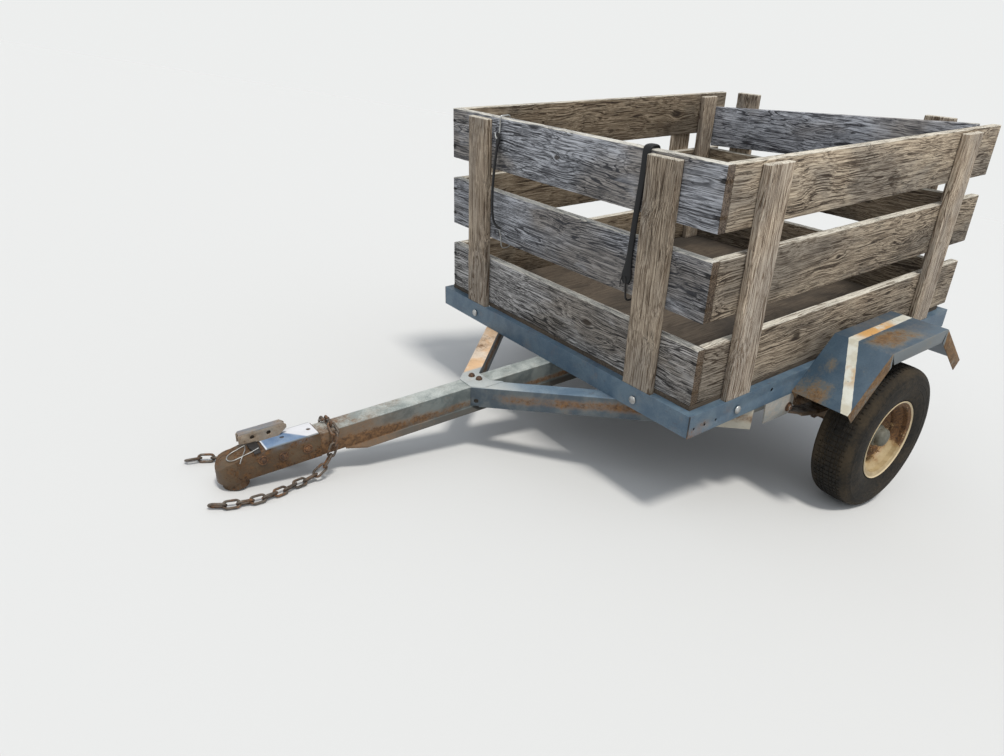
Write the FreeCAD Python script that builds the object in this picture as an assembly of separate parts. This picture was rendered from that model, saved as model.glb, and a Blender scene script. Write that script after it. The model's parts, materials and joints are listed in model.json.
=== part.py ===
import FreeCAD, Part
import math
import os

# Small utility trailer with wooden stake sides, parked nose down on its coupler.
# It is modelled level, X forward from the axle, Y to its left, Z up from the ground,
# and then leaned forward about the axle until the coupler's nose meets the floor.
# All sizes are millimetres.

# Bed frame, folded steel channels
bed_width = 1029.0
bed_length = 1219.0
rear_overhang = 553.0
frame_top = 416.0
rail_depth = 58.0
rail_flange = 38.0
rail_steel = 2.0
cross_member_x = 57.0
cross_member_width = 50.0
pocket_clear = 3.0
# Bolt holes in each side rail, columns: behind the bed's front, below the rail's top, radius
rail_holes = [(20.0, 37.0, 3.5), (57.5, 37.0, 3.5), (98.0, 37.0, 3.5), (310.0, 20.0, 5.0)]

# Deck and boards
deck_thickness = 11.0
board_width = 140.0
board_thickness = 24.0
board_heights = [0.0, 202.0, 400.0]
side_board_rear = 574.0
stake_width = 89.0
stake_thickness = 19.0
stake_top = 960.0
stake_foot_gap = 3.0
stake_inset = 174.5
cleat_width = 70.0
cleat_thickness = 20.0
cleat_top = 957.0

# Lift-out gate
gate_gap = 5.0
gate_seat = 0.3
gate_stake_foot = 366.0
gate_stake_top = 974.0
gate_lean = 3.2
gate_top_board_z = 804.0

# Tongue, braces and coupler
tongue_width = 50.0
tongue_wall = 57.0
tongue_lip = 12.0
tongue_lip_taper = 60.0
tongue_steel = 3.0
tongue_front = 1400.0
brace_width = 42.0
brace_depth = 57.0
brace_steel = 3.0
brace_ahead = 266.0
brace_behind = 249.0
brace_hole_radius = 6.0
# Holes in each brace's wall, columns: share of the wall's length, behind that place, below the top
brace_holes = [(0, 15.0, 40.0), (1, -60.0, 20.0)]
coupler_overlap = 55.0
coupler_flat = 106.0
coupler_steel = 3.5
coupler_wall = 56.0
coupler_drop = 73.8
coupler_fall = 11.0
socket_ahead = 135.0
nose_radius = 31.0
nose_ahead = 7.0
nose_bevel = 16.0
ball_diameter = 47.6
ball_clear = 0.6
socket_depth = 24.0
nose_sides = 24
lever_front = 114.0
lever_length = 108.0
lever_aside = 10.0
lever_width = 18.0
lever_height = 30.0
lever_rise = 6.0
lever_corner = 5.0
lever_steel = 3.0
lever_hole_radius = 5.0
# Holes through the lever, as shares of its length behind its front
lever_holes = [0.28, 0.62]
plate_front = 70.0
plate_hole_radius = 5.0
# Holes in the plate beside the lever, behind the plate's front
plate_holes = [47.0, 109.0]

# Running gear
wheel_sides = 36
hub_sides = 16
tube_sides = 16
pin_sides = 12
hole_sides = 8
tyre_diameter = 414.0
tyre_width = 119.0
tyre_gap = 51.5
tyre_wall = 8.0
rim_diameter = 231.0
rim_width = 104.0
rim_steel = 2.5
rim_well = 168.0
bead_seat = 203.0
axle_diameter = 42.0
spindle_diameter = 25.0
spindle_out = 12.0
hub_in = 48.0
hub_out = 22.0
hub_radius = 30.0
hub_flange = 62.0
hub_flange_steel = 6.0
hub_clear = 0.4
cap_radius = 27.0
cap_out = 46.0
cap_dome = 9.0
disc_bulge = 12.0
disc_edge = 9.0
disc_hole = 34.0
spring_inset = 26.5
spring_width = 44.0
spring_reach = 262.0
spring_camber = 61.8
leaf_thickness = 6.0
short_leaf_share = 0.62
leaf_tail_share = 1.08
eye_outer = 17.0
eye_bolt = 6.0
pad_length = 60.0
pad_steel = 6.0
hanger_steel = 4.0
hanger_skirt = 5.5
hanger_ahead = 106.0
hanger_behind = 20.0
hanger_taper = 6.0
hanger_nip = 10.0
eye_bolt_out = 8.0
rear_pin_radius = 9.0
rear_pin_out = 4.0
rear_hanger_half = 38.0
rear_hanger_taper = 8.0
clamp_wire = 9.5
clamp_half = 40.0
clamp_steel = 6.0
clamp_thread = 20.0
clamp_margin = 5.0
seat_gap = 0.3

# Fenders, folded sheet
fender_width = 157.5
fender_centre = -28.0
fender_top_half = 142.0
fender_foot_half = 290.0
fender_top = 493.0
fender_foot = 364.0
fender_steel = 2.0
fender_lip = 35.0
fender_notch = 9.0

# Safety chain, laid over the tongue behind the coupler
link_wire = 6.0
link_inner = 28.0
link_opening = 10.0
link_play = 0.8
chain_behind_front = 88.0
chain_run = 310.0
chain_twist = 10.0
chain_tilt = 29.0
chain_sag = 2.0
# Fall from the tongue to the floor, columns: forward, outward, drop, as shares of the whole drop
chain_fall = [(0.02, 0, 0.27), (0.08, 0, 0.52), (0.21, 0.01, 0.76), (0.42, 0.03, 0.93), (0.68, 0.07, 1)]
# Lay of each end along the floor, columns: forward, outward, as shares of the run
chain_lay = {
    1: [(0.30, 0.042), (0.42, 0.097), (0.55, 0.135), (0.68, 0.155), (0.84, 0.142), (1, 0.084)],
    -1: [(0.30, 0.042), (0.42, 0.103), (0.53, 0.161), (0.65, 0.226), (0.79, 0.271), (0.94, 0.265)],
}

# Rubber tie-down straps
strap_width = 20.0
strap_thickness = 5.0
# Columns: which strap, which side, how far inside the middle of its front stake
straps = [("left", 1, 62.0), ("right", -1, 78.0)]
strap_stand = 1.0
hook_wire = 5.0
hook_tip = 12.0
hook_shank = 28.0

# Places that follow from the sizes above
half_bed = bed_width / 2.0
front_x = bed_length - rear_overhang
rear_x = -rear_overhang
front_stake_y = half_bed - stake_inset
side_stake_xs = [("front", front_x - stake_inset), ("rear", rear_x + stake_inset)]
rail_bottom = frame_top - rail_depth
deck_top = frame_top + deck_thickness
board_outer_y = half_bed - rail_steel - stake_thickness
board_outer_x = front_x - rail_steel - stake_thickness
board_inner_y = board_outer_y - board_thickness
gate_stake_rear = rear_x + rail_steel + gate_gap
gate_board_rear = gate_stake_rear + stake_thickness
gate_board_front = gate_board_rear + board_thickness
tyre_radius = tyre_diameter / 2.0
wheel_y = half_bed + tyre_gap + tyre_width / 2.0
spring_y = half_bed - spring_inset
eye_path = (spring_reach ** 2 + spring_camber ** 2) / (2.0 * spring_camber)
spring_radius = eye_path + eye_outer - leaf_thickness / 2.0
fender_outer_y = half_bed + fender_width
tongue_half = tongue_width / 2.0
coupler_inner = tongue_half + seat_gap
coupler_half = coupler_inner + coupler_steel
coupler_rear = tongue_front - coupler_overlap
coupler_top_front = tongue_front + coupler_flat
socket_x = tongue_front + socket_ahead
socket_radius = ball_diameter / 2.0 + ball_clear
socket_outer = socket_radius + coupler_steel
coupler_bottom = rail_bottom - coupler_drop
coupler_tip = socket_x + socket_outer
nose_x = socket_x + nose_ahead
chain_x = tongue_front - chain_behind_front


def box(x0, x1, y0, y1, z0, z1):
    low = FreeCAD.Vector(min(x0, x1), min(y0, y1), min(z0, z1))
    return Part.makeBox(abs(x1 - x0), abs(y1 - y0), abs(z1 - z0), low)


def prism(points, plane, start, end):
    """Extrude a closed outline given in the XY, XZ or YZ plane between two places."""
    place = {
        "XY": lambda a, b: FreeCAD.Vector(a, b, start),
        "XZ": lambda a, b: FreeCAD.Vector(a, start, b),
        "YZ": lambda a, b: FreeCAD.Vector(start, a, b),
    }[plane]
    reach = end - start
    along = {
        "XY": FreeCAD.Vector(0, 0, reach),
        "XZ": FreeCAD.Vector(0, reach, 0),
        "YZ": FreeCAD.Vector(reach, 0, 0),
    }[plane]
    corners = [place(a, b) for a, b in points]
    return Part.Face(Part.makePolygon(corners + corners[:1])).extrude(along)


def rod(start, end, radius):
    line = FreeCAD.Vector(*end) - FreeCAD.Vector(*start)
    return Part.makeCylinder(radius, line.Length, FreeCAD.Vector(*start), line)


def pin(x, z, y0, y1, radius, sides=pin_sides):
    """Many-sided pin along Y, with its flats on the given radius."""
    corner = radius / math.cos(math.pi / sides)
    turns = [math.pi * (2 * i + 1) / sides for i in range(sides)]
    outline = [(x + corner * math.cos(t), z + corner * math.sin(t)) for t in turns]
    return prism(outline, "XZ", y0, y1)


def ribbon(points, thickness):
    """Outline of a folded sheet that lies on the right-hand side of the given line."""
    offsets = []
    for i, (a, b) in enumerate(points):
        normals = []
        for j in (i - 1, i):
            if 0 <= j < len(points) - 1:
                da = points[j + 1][0] - points[j][0]
                db = points[j + 1][1] - points[j][1]
                length = math.hypot(da, db)
                normals.append((db / length, -da / length))
        na = sum(n[0] for n in normals)
        nb = sum(n[1] for n in normals)
        scale = thickness * len(normals) / (na * na + nb * nb) if len(normals) == 2 else thickness
        offsets.append((a + na * scale, b + nb * scale))
    return points + offsets[::-1]


def skinned(rings, closed):
    """Solid of flat panels between matching rings of corners, closed on itself or capped."""
    faces = []
    count = len(rings[0])
    for i in range(len(rings) if closed else len(rings) - 1):
        ahead = rings[(i + 1) % len(rings)]
        for k in range(count):
            after = (k + 1) % count
            corners = []
            for corner in (rings[i][k], rings[i][after], ahead[after], ahead[k]):
                if not any((corner - c).Length < 1e-6 for c in corners):
                    corners.append(corner)
            if len(corners) > 2:
                faces.append(Part.Face(Part.makePolygon(corners + corners[:1])))
    if not closed:
        faces.append(Part.Face(Part.makePolygon(rings[0] + rings[0][:1])))
        faces.append(Part.Face(Part.makePolygon(rings[-1] + rings[-1][:1])))
    shell = Part.makeShell(faces)
    shell.sewShape()
    solid = Part.makeSolid(shell)
    if solid.Volume < 0:
        solid.reverse()
    return solid


def turned(points, y_centre, sides):
    """Many-sided turning of an outline of (radius, outward place) pairs about a left wheel's axis.

    Its flats touch the given radii, and one of them lies on the ground once the trailer leans.
    """
    spread = 1.0 / math.cos(math.pi / sides)
    rings = []
    for i in range(sides):
        angle = 2 * math.pi * (i + 0.5) / sides + rest_lean()
        rings.append([FreeCAD.Vector(radius * spread * math.sin(angle), y_centre + out,
                                     tyre_radius - radius * spread * math.cos(angle))
                      for radius, out in points])
    return skinned(rings, True)


def wire(corners, radius, normal, closed=False, sides=6):
    """Bar of many-sided section along straight runs that lie in the plane with that normal."""
    rings = []
    count = len(corners)
    for i, corner in enumerate(corners):
        ways = []
        if closed or i > 0:
            ways.append(normal.cross(corner - corners[i - 1]).normalize())
        if closed or i < count - 1:
            ways.append(normal.cross(corners[(i + 1) % count] - corner).normalize())
        middle = (ways[0] + ways[-1]).normalize()
        stretch = 1.0 / middle.dot(ways[0])
        ring = []
        for k in range(sides):
            turn = 2 * math.pi * (k + 0.5) / sides
            ring.append(corner + middle * (radius * math.cos(turn) * stretch)
                        + normal * (radius * math.sin(turn)))
        rings.append(ring)
    return skinned(rings, closed)


def bend_points(centre, first, second, radius, start, end, chords):
    """Corners of a run of chords outside an arc, from one angle to another in degrees."""
    step = math.radians(end - start) / (chords + 1)
    reach = radius / math.cos(step / 2.0)
    turns = [math.radians(start) + step * (i + 0.5) for i in range(chords + 1)]
    return [centre + first * (reach * math.cos(t)) + second * (reach * math.sin(t)) for t in turns]


def mirrored(shape):
    return shape.mirror(FreeCAD.Vector(0, 0, 0), FreeCAD.Vector(0, 1, 0))


nodes = {}


def both_sides(name, shape):
    nodes[name + "_left"] = shape
    nodes[name + "_right"] = mirrored(shape)


def build_frame():
    ring = box(rear_x, front_x, -half_bed, half_bed, rail_bottom, frame_top)
    ring = ring.cut(box(rear_x + rail_steel, front_x - rail_steel, -half_bed + rail_steel,
                        half_bed - rail_steel, rail_bottom + rail_steel, frame_top - rail_steel))
    ring = ring.cut(box(rear_x + rail_flange, front_x - rail_flange, -half_bed + rail_flange,
                        half_bed - rail_flange, rail_bottom - 1, frame_top + 1))
    half_pocket = stake_width / 2.0 + pocket_clear
    pocket_deep = stake_thickness + pocket_clear
    low, high = frame_top - 1.5 * rail_steel, frame_top + 1
    for side in (-1, 1):
        y = side * front_stake_y
        ring = ring.cut(box(front_x - rail_steel, front_x - rail_steel - pocket_deep,
                            y - half_pocket, y + half_pocket, low, high))
        gate_half = stake_width / 2.0 + gate_gap
        ring = ring.cut(box(rear_x + rail_steel, gate_board_rear + gate_gap,
                            y - gate_half, y + gate_half, low, high))
        for label, x in side_stake_xs:
            outer = side * (half_bed - rail_steel)
            inner = side * (half_bed - rail_steel - pocket_deep)
            ring = ring.cut(box(x - half_pocket, x + half_pocket, outer, inner, low, high))
    for back, below, radius in rail_holes:
        ring = ring.cut(pin(front_x - back, frame_top - below, -half_bed - 1, half_bed + 1,
                            radius, hole_sides))
    corner = rail_flange + 10
    front_in, rear_in, side_in = front_x - corner, rear_x + corner, half_bed - corner
    quarters = {
        "rail_front": [(front_x, -half_bed), (front_x, half_bed), (front_in, side_in), (front_in, -side_in)],
        "rail_rear": [(rear_x, half_bed), (rear_x, -half_bed), (rear_in, -side_in), (rear_in, side_in)],
        "rail_left": [(front_x, half_bed), (rear_x, half_bed), (rear_in, side_in), (front_in, side_in)],
        "rail_right": [(rear_x, -half_bed), (front_x, -half_bed), (front_in, -side_in), (rear_in, -side_in)],
    }
    for name, outline in quarters.items():
        nodes[name] = ring.common(prism(outline, "XY", rail_bottom - 1, frame_top + 1))


def build_cross_member():
    x0 = cross_member_x - cross_member_width / 2.0
    x1 = cross_member_x + cross_member_width / 2.0
    reach = half_bed - rail_steel - seat_gap
    member = box(x0, x1, -reach, reach, rail_bottom, frame_top)
    member = member.cut(box(x0 + rail_steel, x1 - rail_steel, -reach - 1, reach + 1,
                            rail_bottom - 1, frame_top - 2 * rail_steel))
    notch = rail_flange + seat_gap
    for side in (-1, 1):
        y0, y1 = side * (half_bed - notch), side * (half_bed + 1)
        member = member.cut(box(x0 - 1, x1 + 1, y0, y1, frame_top - rail_steel - seat_gap, frame_top + 1))
        member = member.cut(box(x0 - 1, x1 + 1, y0, y1, rail_bottom - 1,
                                rail_bottom + rail_steel + seat_gap))
    nodes["cross_member"] = member


def build_deck_and_walls():
    deck_rear = gate_board_rear + gate_gap
    nodes["deck"] = box(deck_rear, board_outer_x, -board_outer_y, board_outer_y, frame_top, deck_top)
    wall_front = board_outer_x - board_thickness
    for number, height in enumerate(board_heights, 1):
        z0 = deck_top + height
        z1 = z0 + board_width
        nodes["board_front_%d" % number] = box(wall_front, board_outer_x, -board_outer_y, board_outer_y,
                                               z0, z1)
        both = box(-side_board_rear, wall_front, board_inner_y, board_outer_y, z0, z1)
        nodes["board_left_%d" % number] = both
        nodes["board_right_%d" % number] = mirrored(both)
    foot = rail_bottom + rail_steel + stake_foot_gap
    half = stake_width / 2.0
    both_sides("stake_front", box(board_outer_x, board_outer_x + stake_thickness,
                                  front_stake_y - half, front_stake_y + half, foot, stake_top))
    for label, x in side_stake_xs:
        stake = box(x - half, x + half, board_outer_y, board_outer_y + stake_thickness, foot, stake_top)
        both_sides("stake_side_" + label, stake)
    cleat_rear = gate_board_front + gate_gap
    both_sides("cleat", box(cleat_rear, cleat_rear + cleat_width, board_inner_y - cleat_thickness,
                            board_inner_y, deck_top, cleat_top))


def build_gate():
    half_length = board_inner_y - gate_gap
    seat = deck_top + gate_seat
    for number, height in enumerate(board_heights[:2], 1):
        nodes["gate_board_%d" % number] = box(gate_board_rear, gate_board_front, -half_length, half_length,
                                              seat + height, seat + height + board_width)
    top_half = half_length - board_width / 2.0 * math.sin(math.radians(gate_lean))
    top = box(gate_board_rear, gate_board_front, -top_half, top_half, gate_top_board_z,
              gate_top_board_z + board_width)
    middle = FreeCAD.Vector(gate_board_rear, 0, gate_top_board_z + board_width / 2.0)
    top.rotate(middle, FreeCAD.Vector(1, 0, 0), gate_lean)
    nodes["gate_board_3"] = top
    half = stake_width / 2.0
    both_sides("gate_stake", box(gate_stake_rear, gate_board_rear, front_stake_y - half,
                                 front_stake_y + half, gate_stake_foot, gate_stake_top))


def build_tongue():
    half = tongue_half
    wall_foot = rail_bottom - tongue_wall
    flare = tongue_lip
    rear = cross_member_x - cross_member_width / 2.0
    outline = [(-half - flare, wall_foot - flare), (-half, wall_foot), (-half, rail_bottom),
               (half, rail_bottom), (half, wall_foot), (half + flare, wall_foot - flare)]
    tongue = prism(ribbon(outline, tongue_steel), "YZ", rear, tongue_front)
    lip_stop = chain_x - link_inner
    low = wall_foot - 2 * flare
    for side in (-1, 1):
        inner, outer = side * half, side * (half + 2 * flare)
        trim = [(lip_stop, inner), (tongue_front + 1, inner), (tongue_front + 1, outer),
                (lip_stop - 2 * tongue_lip_taper, outer)]
        tongue = tongue.cut(prism(trim, "XY", low, wall_foot))
    nodes["tongue"] = tongue.cut(box(lip_stop, tongue_front + 1, -half - 1, half + 1, low, wall_foot))


def build_braces():
    half = tongue_half
    front = front_x + brace_ahead
    end = front_x - brace_behind
    slope = (half_bed - half) / (front - end)
    angle = math.atan(slope)
    floor = rail_bottom - brace_depth

    def plan(inset, overrun):
        lead = overrun / slope
        end_x = end - overrun * math.cos(angle)
        end_y = half_bed + overrun * math.sin(angle)
        deep = brace_width - inset
        return [(front - inset / math.sin(angle) + lead, half - overrun),
                (end_x - inset * math.sin(angle), end_y - inset * math.cos(angle)),
                (end_x - deep * math.sin(angle), end_y - deep * math.cos(angle)),
                (front - deep / math.sin(angle) + lead, half - overrun)]

    brace = prism(plan(0.0, 0.0), "XY", floor, rail_bottom)
    brace = brace.cut(prism(plan(brace_steel, 5.0), "XY", floor - 1, rail_bottom - brace_steel))
    lip_room = box(end, front + 1, half, half + tongue_lip + tongue_steel, floor - 1, floor + tongue_steel)
    brace = brace.cut(lip_room)
    wall = math.hypot(front - end, half_bed - half)
    out = FreeCAD.Vector(math.sin(angle), math.cos(angle), 0)
    back = FreeCAD.Vector(-math.cos(angle), math.sin(angle), 0)
    for share, behind, below in brace_holes:
        centre = FreeCAD.Vector(front, half, rail_bottom - below) + back * (share * wall + behind)
        drill = pin(0, 0, -2 * brace_steel, 2 * brace_steel, brace_hole_radius, hole_sides)
        drill.Placement = FreeCAD.Placement(centre, FreeCAD.Rotation(FreeCAD.Vector(0, 1, 0), out))
        brace = brace.cut(drill)
    cover = brace_width / math.sin(angle)
    plate = [(front, half), (front, seat_gap), (front - cover, seat_gap), (front - cover, half)]
    brace = brace.fuse(prism(plate, "XY", rail_bottom, rail_bottom + brace_steel))
    root_end = front - half / slope
    root = [(front, half), (front - cover, half), (root_end - cover, 2 * half), (root_end, 2 * half)]
    brace = brace.fuse(prism(root, "XY", rail_bottom, rail_bottom + brace_steel))
    both_sides("brace", brace.removeSplitter())


def build_coupler():
    top = rail_bottom + coupler_steel
    foot = rail_bottom - coupler_wall
    reach = nose_x + nose_radius + 5

    def column(x, radius, z0, z1, sides=nose_sides):
        corner = radius / math.cos(math.pi / sides)
        turns = [math.pi * (2 * i + 1) / sides for i in range(sides)]
        return prism([(x + corner * math.cos(t), corner * math.sin(t)) for t in turns], "XY", z0, z1)

    body = box(coupler_rear, nose_x, -coupler_half, coupler_half, foot, top)
    body = body.fuse(column(nose_x, nose_radius, foot, top))
    body = body.fuse(column(socket_x, socket_outer, coupler_bottom, foot + coupler_steel))
    tip_x, tip_z = nose_x + nose_radius, top - coupler_fall - nose_bevel
    slope = prism([(coupler_top_front, top), (coupler_top_front, top + 1), (reach, top + 1), (reach, tip_z),
                   (tip_x, tip_z), (tip_x - nose_bevel, tip_z + nose_bevel)], "XZ", -reach, reach)
    channel = box(coupler_rear - 1, socket_x - socket_outer, -coupler_inner, coupler_inner,
                  foot - 1, rail_bottom)
    socket = Part.makeCylinder(socket_radius, socket_depth + 1,
                               FreeCAD.Vector(socket_x, 0, coupler_bottom - 1))
    nodes["coupler_body"] = body.cut(slope).cut(channel).cut(socket).removeSplitter()

    x1 = tongue_front + lever_front
    x0 = x1 - lever_length
    y1 = -lever_aside
    y0 = y1 - lever_width
    plate_x = tongue_front + plate_front
    z0 = top + lever_steel
    z1 = z0 + lever_height
    corner = lever_corner
    outline = [(x0 + 4 * corner, z0), (plate_x, z0), (x1, z0 + lever_rise), (x1, z1 - corner),
               (x1 - corner, z1), (x0 + 2 * corner, z1), (x0, z1 - 1.5 * corner), (x0, z1 - 3 * corner)]
    lever = prism(outline, "XZ", y0, y1)
    lever = lever.cut(box(x0 - 1, x1 + 1, y0 + lever_steel, y1 - lever_steel, z0 - 1, z1 - lever_steel))
    for share in lever_holes:
        lever = lever.cut(pin(x1 - share * lever_length, (z0 + z1) / 2.0, y0 - 1, y1 + 1,
                              lever_hole_radius, hole_sides))
    plate = box(coupler_rear + lever_steel, plate_x, -coupler_half, coupler_half, top, z0)
    for back in plate_holes:
        plate = plate.cut(column(plate_x - back, plate_hole_radius, top - 1, z0 + 1, hole_sides))
    nodes["coupler_lever"] = plate.fuse(lever).removeSplitter()


def build_axle_and_springs():
    z = tyre_radius
    axle_end = wheel_y - hub_in - hanger_steel
    half_spring = spring_width / 2.0
    pad_top = z + axle_diameter / 2.0 + pad_steel
    axle = pin(0, z, -axle_end, axle_end, axle_diameter / 2.0, tube_sides)
    spindle_end = wheel_y + spindle_out
    axle = axle.fuse(rod((0, -spindle_end, z), (0, spindle_end, z), spindle_diameter / 2.0))
    for side in (-1, 1):
        y = side * spring_y
        axle = axle.fuse(box(-pad_length / 2.0, pad_length / 2.0, y - half_spring, y + half_spring,
                             z + axle_diameter / 5.0, pad_top))
    nodes["axle"] = axle.removeSplitter()

    y0, y1 = spring_y - half_spring, spring_y + half_spring
    leaf_low = pad_top + leaf_thickness
    centre_z = leaf_low + spring_radius + leaf_thickness / 2.0

    def leaf(low_z, front_angle, rear_angle):
        outer = centre_z - low_z
        inner = outer - leaf_thickness
        ends = []
        for radius in (outer, inner):
            points = []
            for angle in (-rear_angle, (front_angle - rear_angle) / 2.0, front_angle):
                points.append(FreeCAD.Vector(radius * math.sin(angle), y0,
                                             centre_z - radius * math.cos(angle)))
            ends.append(points)
        edges = [Part.Arc(*ends[0]).toShape(), Part.LineSegment(ends[0][2], ends[1][2]).toShape(),
                 Part.Arc(*ends[1][::-1]).toShape(), Part.LineSegment(ends[1][0], ends[0][0]).toShape()]
        return Part.Face(Part.Wire(edges)).extrude(FreeCAD.Vector(0, spring_width, 0))

    eye_angle = math.asin(spring_reach / eye_path)
    eye_z = centre_z - eye_path * math.cos(eye_angle)
    main = leaf(leaf_low, eye_angle, eye_angle * leaf_tail_share)
    main = main.fuse(pin(spring_reach, eye_z, y0, y1, eye_outer, tube_sides))
    main = main.cut(pin(spring_reach, eye_z, y0 - 1, y1 + 1, eye_bolt + seat_gap))
    short = leaf(pad_top, eye_angle * short_leaf_share, eye_angle * short_leaf_share)
    both_sides("leaf_spring", main.fuse(short).removeSplitter())

    plate_in = y0 - seat_gap - hanger_steel
    plate_out = y1 + seat_gap + hanger_steel
    foot = eye_z - eye_outer - hanger_skirt
    front_end = spring_reach + hanger_ahead
    back_end = spring_reach - hanger_behind
    outline = [(front_end, rail_bottom), (front_end - hanger_taper, foot + hanger_steel),
               (spring_reach, foot), (back_end, foot + hanger_nip), (back_end, rail_bottom)]
    front = prism(outline, "XZ", plate_in, plate_out)
    front = front.cut(box(back_end - 1, front_end + 1, y0 - seat_gap, y1 + seat_gap, foot - 1,
                          rail_bottom - hanger_steel))
    front = front.fuse(pin(spring_reach, eye_z, plate_in - eye_bolt_out, plate_out + eye_bolt_out, eye_bolt))
    both_sides("spring_hanger_front", front.removeSplitter())

    pin_path = spring_radius - leaf_thickness / 2.0 - rear_pin_radius - seat_gap
    pin_x = -pin_path * math.sin(eye_angle)
    pin_z = centre_z - pin_path * math.cos(eye_angle)
    wide, narrow = rear_hanger_half, rear_hanger_half - rear_hanger_taper
    foot = pin_z - rear_pin_radius - 2 * hanger_skirt
    outline = [(pin_x - wide, rail_bottom), (pin_x - narrow, foot), (pin_x + narrow, foot),
               (pin_x + wide, rail_bottom)]
    rear = prism(outline, "XZ", plate_in, plate_out)
    rear = rear.cut(box(pin_x - wide - 1, pin_x + wide + 1, y0 - seat_gap, y1 + seat_gap, foot - 1,
                        rail_bottom - hanger_steel))
    rear = rear.fuse(pin(pin_x, pin_z, plate_in - rear_pin_out, plate_out + rear_pin_out,
                         rear_pin_radius * math.cos(math.pi / pin_sides)))
    both_sides("spring_hanger_rear", rear.removeSplitter())

    radius = clamp_wire / 2.0
    loop = axle_diameter / 2.0 + radius + seat_gap
    plate_low = leaf_low + leaf_thickness + clamp_half ** 2 / (2 * spring_radius) + seat_gap / 2.0
    plate_edge = half_spring + clamp_wire + clamp_margin
    clamp = box(-clamp_half, clamp_half, spring_y - plate_edge, spring_y + plate_edge,
                plate_low, plate_low + clamp_steel)
    across, up = FreeCAD.Vector(1, 0, 0), FreeCAD.Vector(0, 0, 1)
    for y in (spring_y - half_spring - radius - 1, spring_y + half_spring + radius + 1):
        centre = FreeCAD.Vector(0, y, z)
        tip_z = plate_low + clamp_steel + clamp_thread
        bend = bend_points(centre, across, up, loop, 180, 360, 5)
        route = [FreeCAD.Vector(-loop, y, tip_z)] + bend + [FreeCAD.Vector(loop, y, tip_z)]
        clamp = clamp.fuse(wire(route, radius, FreeCAD.Vector(0, 1, 0)))
    both_sides("axle_clamp", clamp)


def build_wheels():
    half = tyre_width / 2.0
    seat = bead_seat / 2.0
    rim_half = rim_width / 2.0
    rim_top = rim_diameter / 2.0
    lip = rim_half - 5
    outer_half = [(tyre_radius, half * 0.5), (tyre_radius - 10, half * 0.84), (tyre_radius - 38, half),
                  (rim_top + 22, half - 2), (rim_top + 0.5, lip + 2)]
    inner_half = [(seat + rim_steel, lip - 2), (seat + 0.5, lip - 8),
                  (rim_top + 22, half - 2 - tyre_wall), (tyre_radius - 1.5 * tyre_wall, half * 0.5)]
    other_outer = [(radius, -out) for radius, out in outer_half]
    other_inner = [(radius, -out) for radius, out in inner_half]
    outline = outer_half[::-1] + other_outer + other_inner + inner_half[::-1]
    both_sides("tyre", turned(outline, wheel_y, wheel_sides))

    well = rim_well / 2.0
    flange = [(rim_top, rim_half - 1), (seat, lip - 2), (well, 14)]
    barrel = flange + [(radius, -out) for radius, out in flange[::-1]]
    barrel_ribbon = ribbon(barrel, rim_steel)
    inner_side = barrel_ribbon[len(barrel):]
    disc = ribbon([(well - rim_steel, disc_bulge / 4.0), (well - disc_edge, disc_bulge), (hub_flange, 0),
                   (disc_hole, 0)], rim_steel)
    disc[-1] = (well - rim_steel, disc[-1][1])
    middle = len(inner_side) // 2
    outline = barrel + inner_side[:middle] + disc + inner_side[middle:]
    both_sides("rim", turned(outline, wheel_y, wheel_sides))

    outline = [(hub_radius, -hub_in), (hub_radius, -hub_flange_steel), (hub_flange, -hub_flange_steel),
               (hub_flange, 0), (hub_radius + 2, 0), (hub_radius, hub_out), (cap_radius, hub_out),
               (cap_radius, cap_out - cap_dome), (cap_radius * 0.72, cap_out - 2), (0, cap_out),
               (0, -hub_in)]
    hub = turned(outline, wheel_y, hub_sides)
    bore = rod((0, wheel_y - hub_in - 1, tyre_radius), (0, wheel_y + spindle_out + 2, tyre_radius),
               spindle_diameter / 2.0 + hub_clear)
    both_sides("hub", hub.cut(bore))


def build_fenders():
    feet = [fender_centre - fender_foot_half, fender_centre + fender_foot_half]
    tops = [fender_centre - fender_top_half, fender_centre + fender_top_half]
    line = [(feet[0], fender_foot), (tops[0], fender_top), (tops[1], fender_top), (feet[1], fender_foot)]
    skin = prism(ribbon(line, fender_steel), "XZ", half_bed, fender_outer_y)
    flange = ribbon(line, fender_lip)
    lip = prism(flange, "XZ", fender_outer_y - fender_steel, fender_outer_y)
    for bend, root in ((line[1], flange[-2]), (line[2], flange[-3])):
        down = FreeCAD.Vector(root[0] - bend[0], 0, root[1] - bend[1]).normalize()
        apex = FreeCAD.Vector(bend[0], 0, bend[1]) + down * (2 * fender_steel)
        mouth = apex + down * (1.5 * fender_lip)
        across = FreeCAD.Vector(down.z, 0, -down.x) * fender_notch
        corners = [(place.x, place.z) for place in (apex, mouth + across, mouth - across)]
        lip = lip.cut(prism(corners, "XZ", fender_outer_y - 2 * fender_steel, fender_outer_y + fender_steel))
    skin = skin.fuse(lip)
    skin = skin.fuse(prism(flange, "XZ", half_bed, half_bed + fender_steel))
    both_sides("fender", skin.removeSplitter())


def rest_lean():
    """Angle that brings the coupler's tip down to the floor under the tyres."""
    reach = coupler_tip
    rise = coupler_bottom - tyre_radius
    return math.asin(tyre_radius / math.hypot(reach, rise)) + math.atan2(rise, reach)


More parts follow.
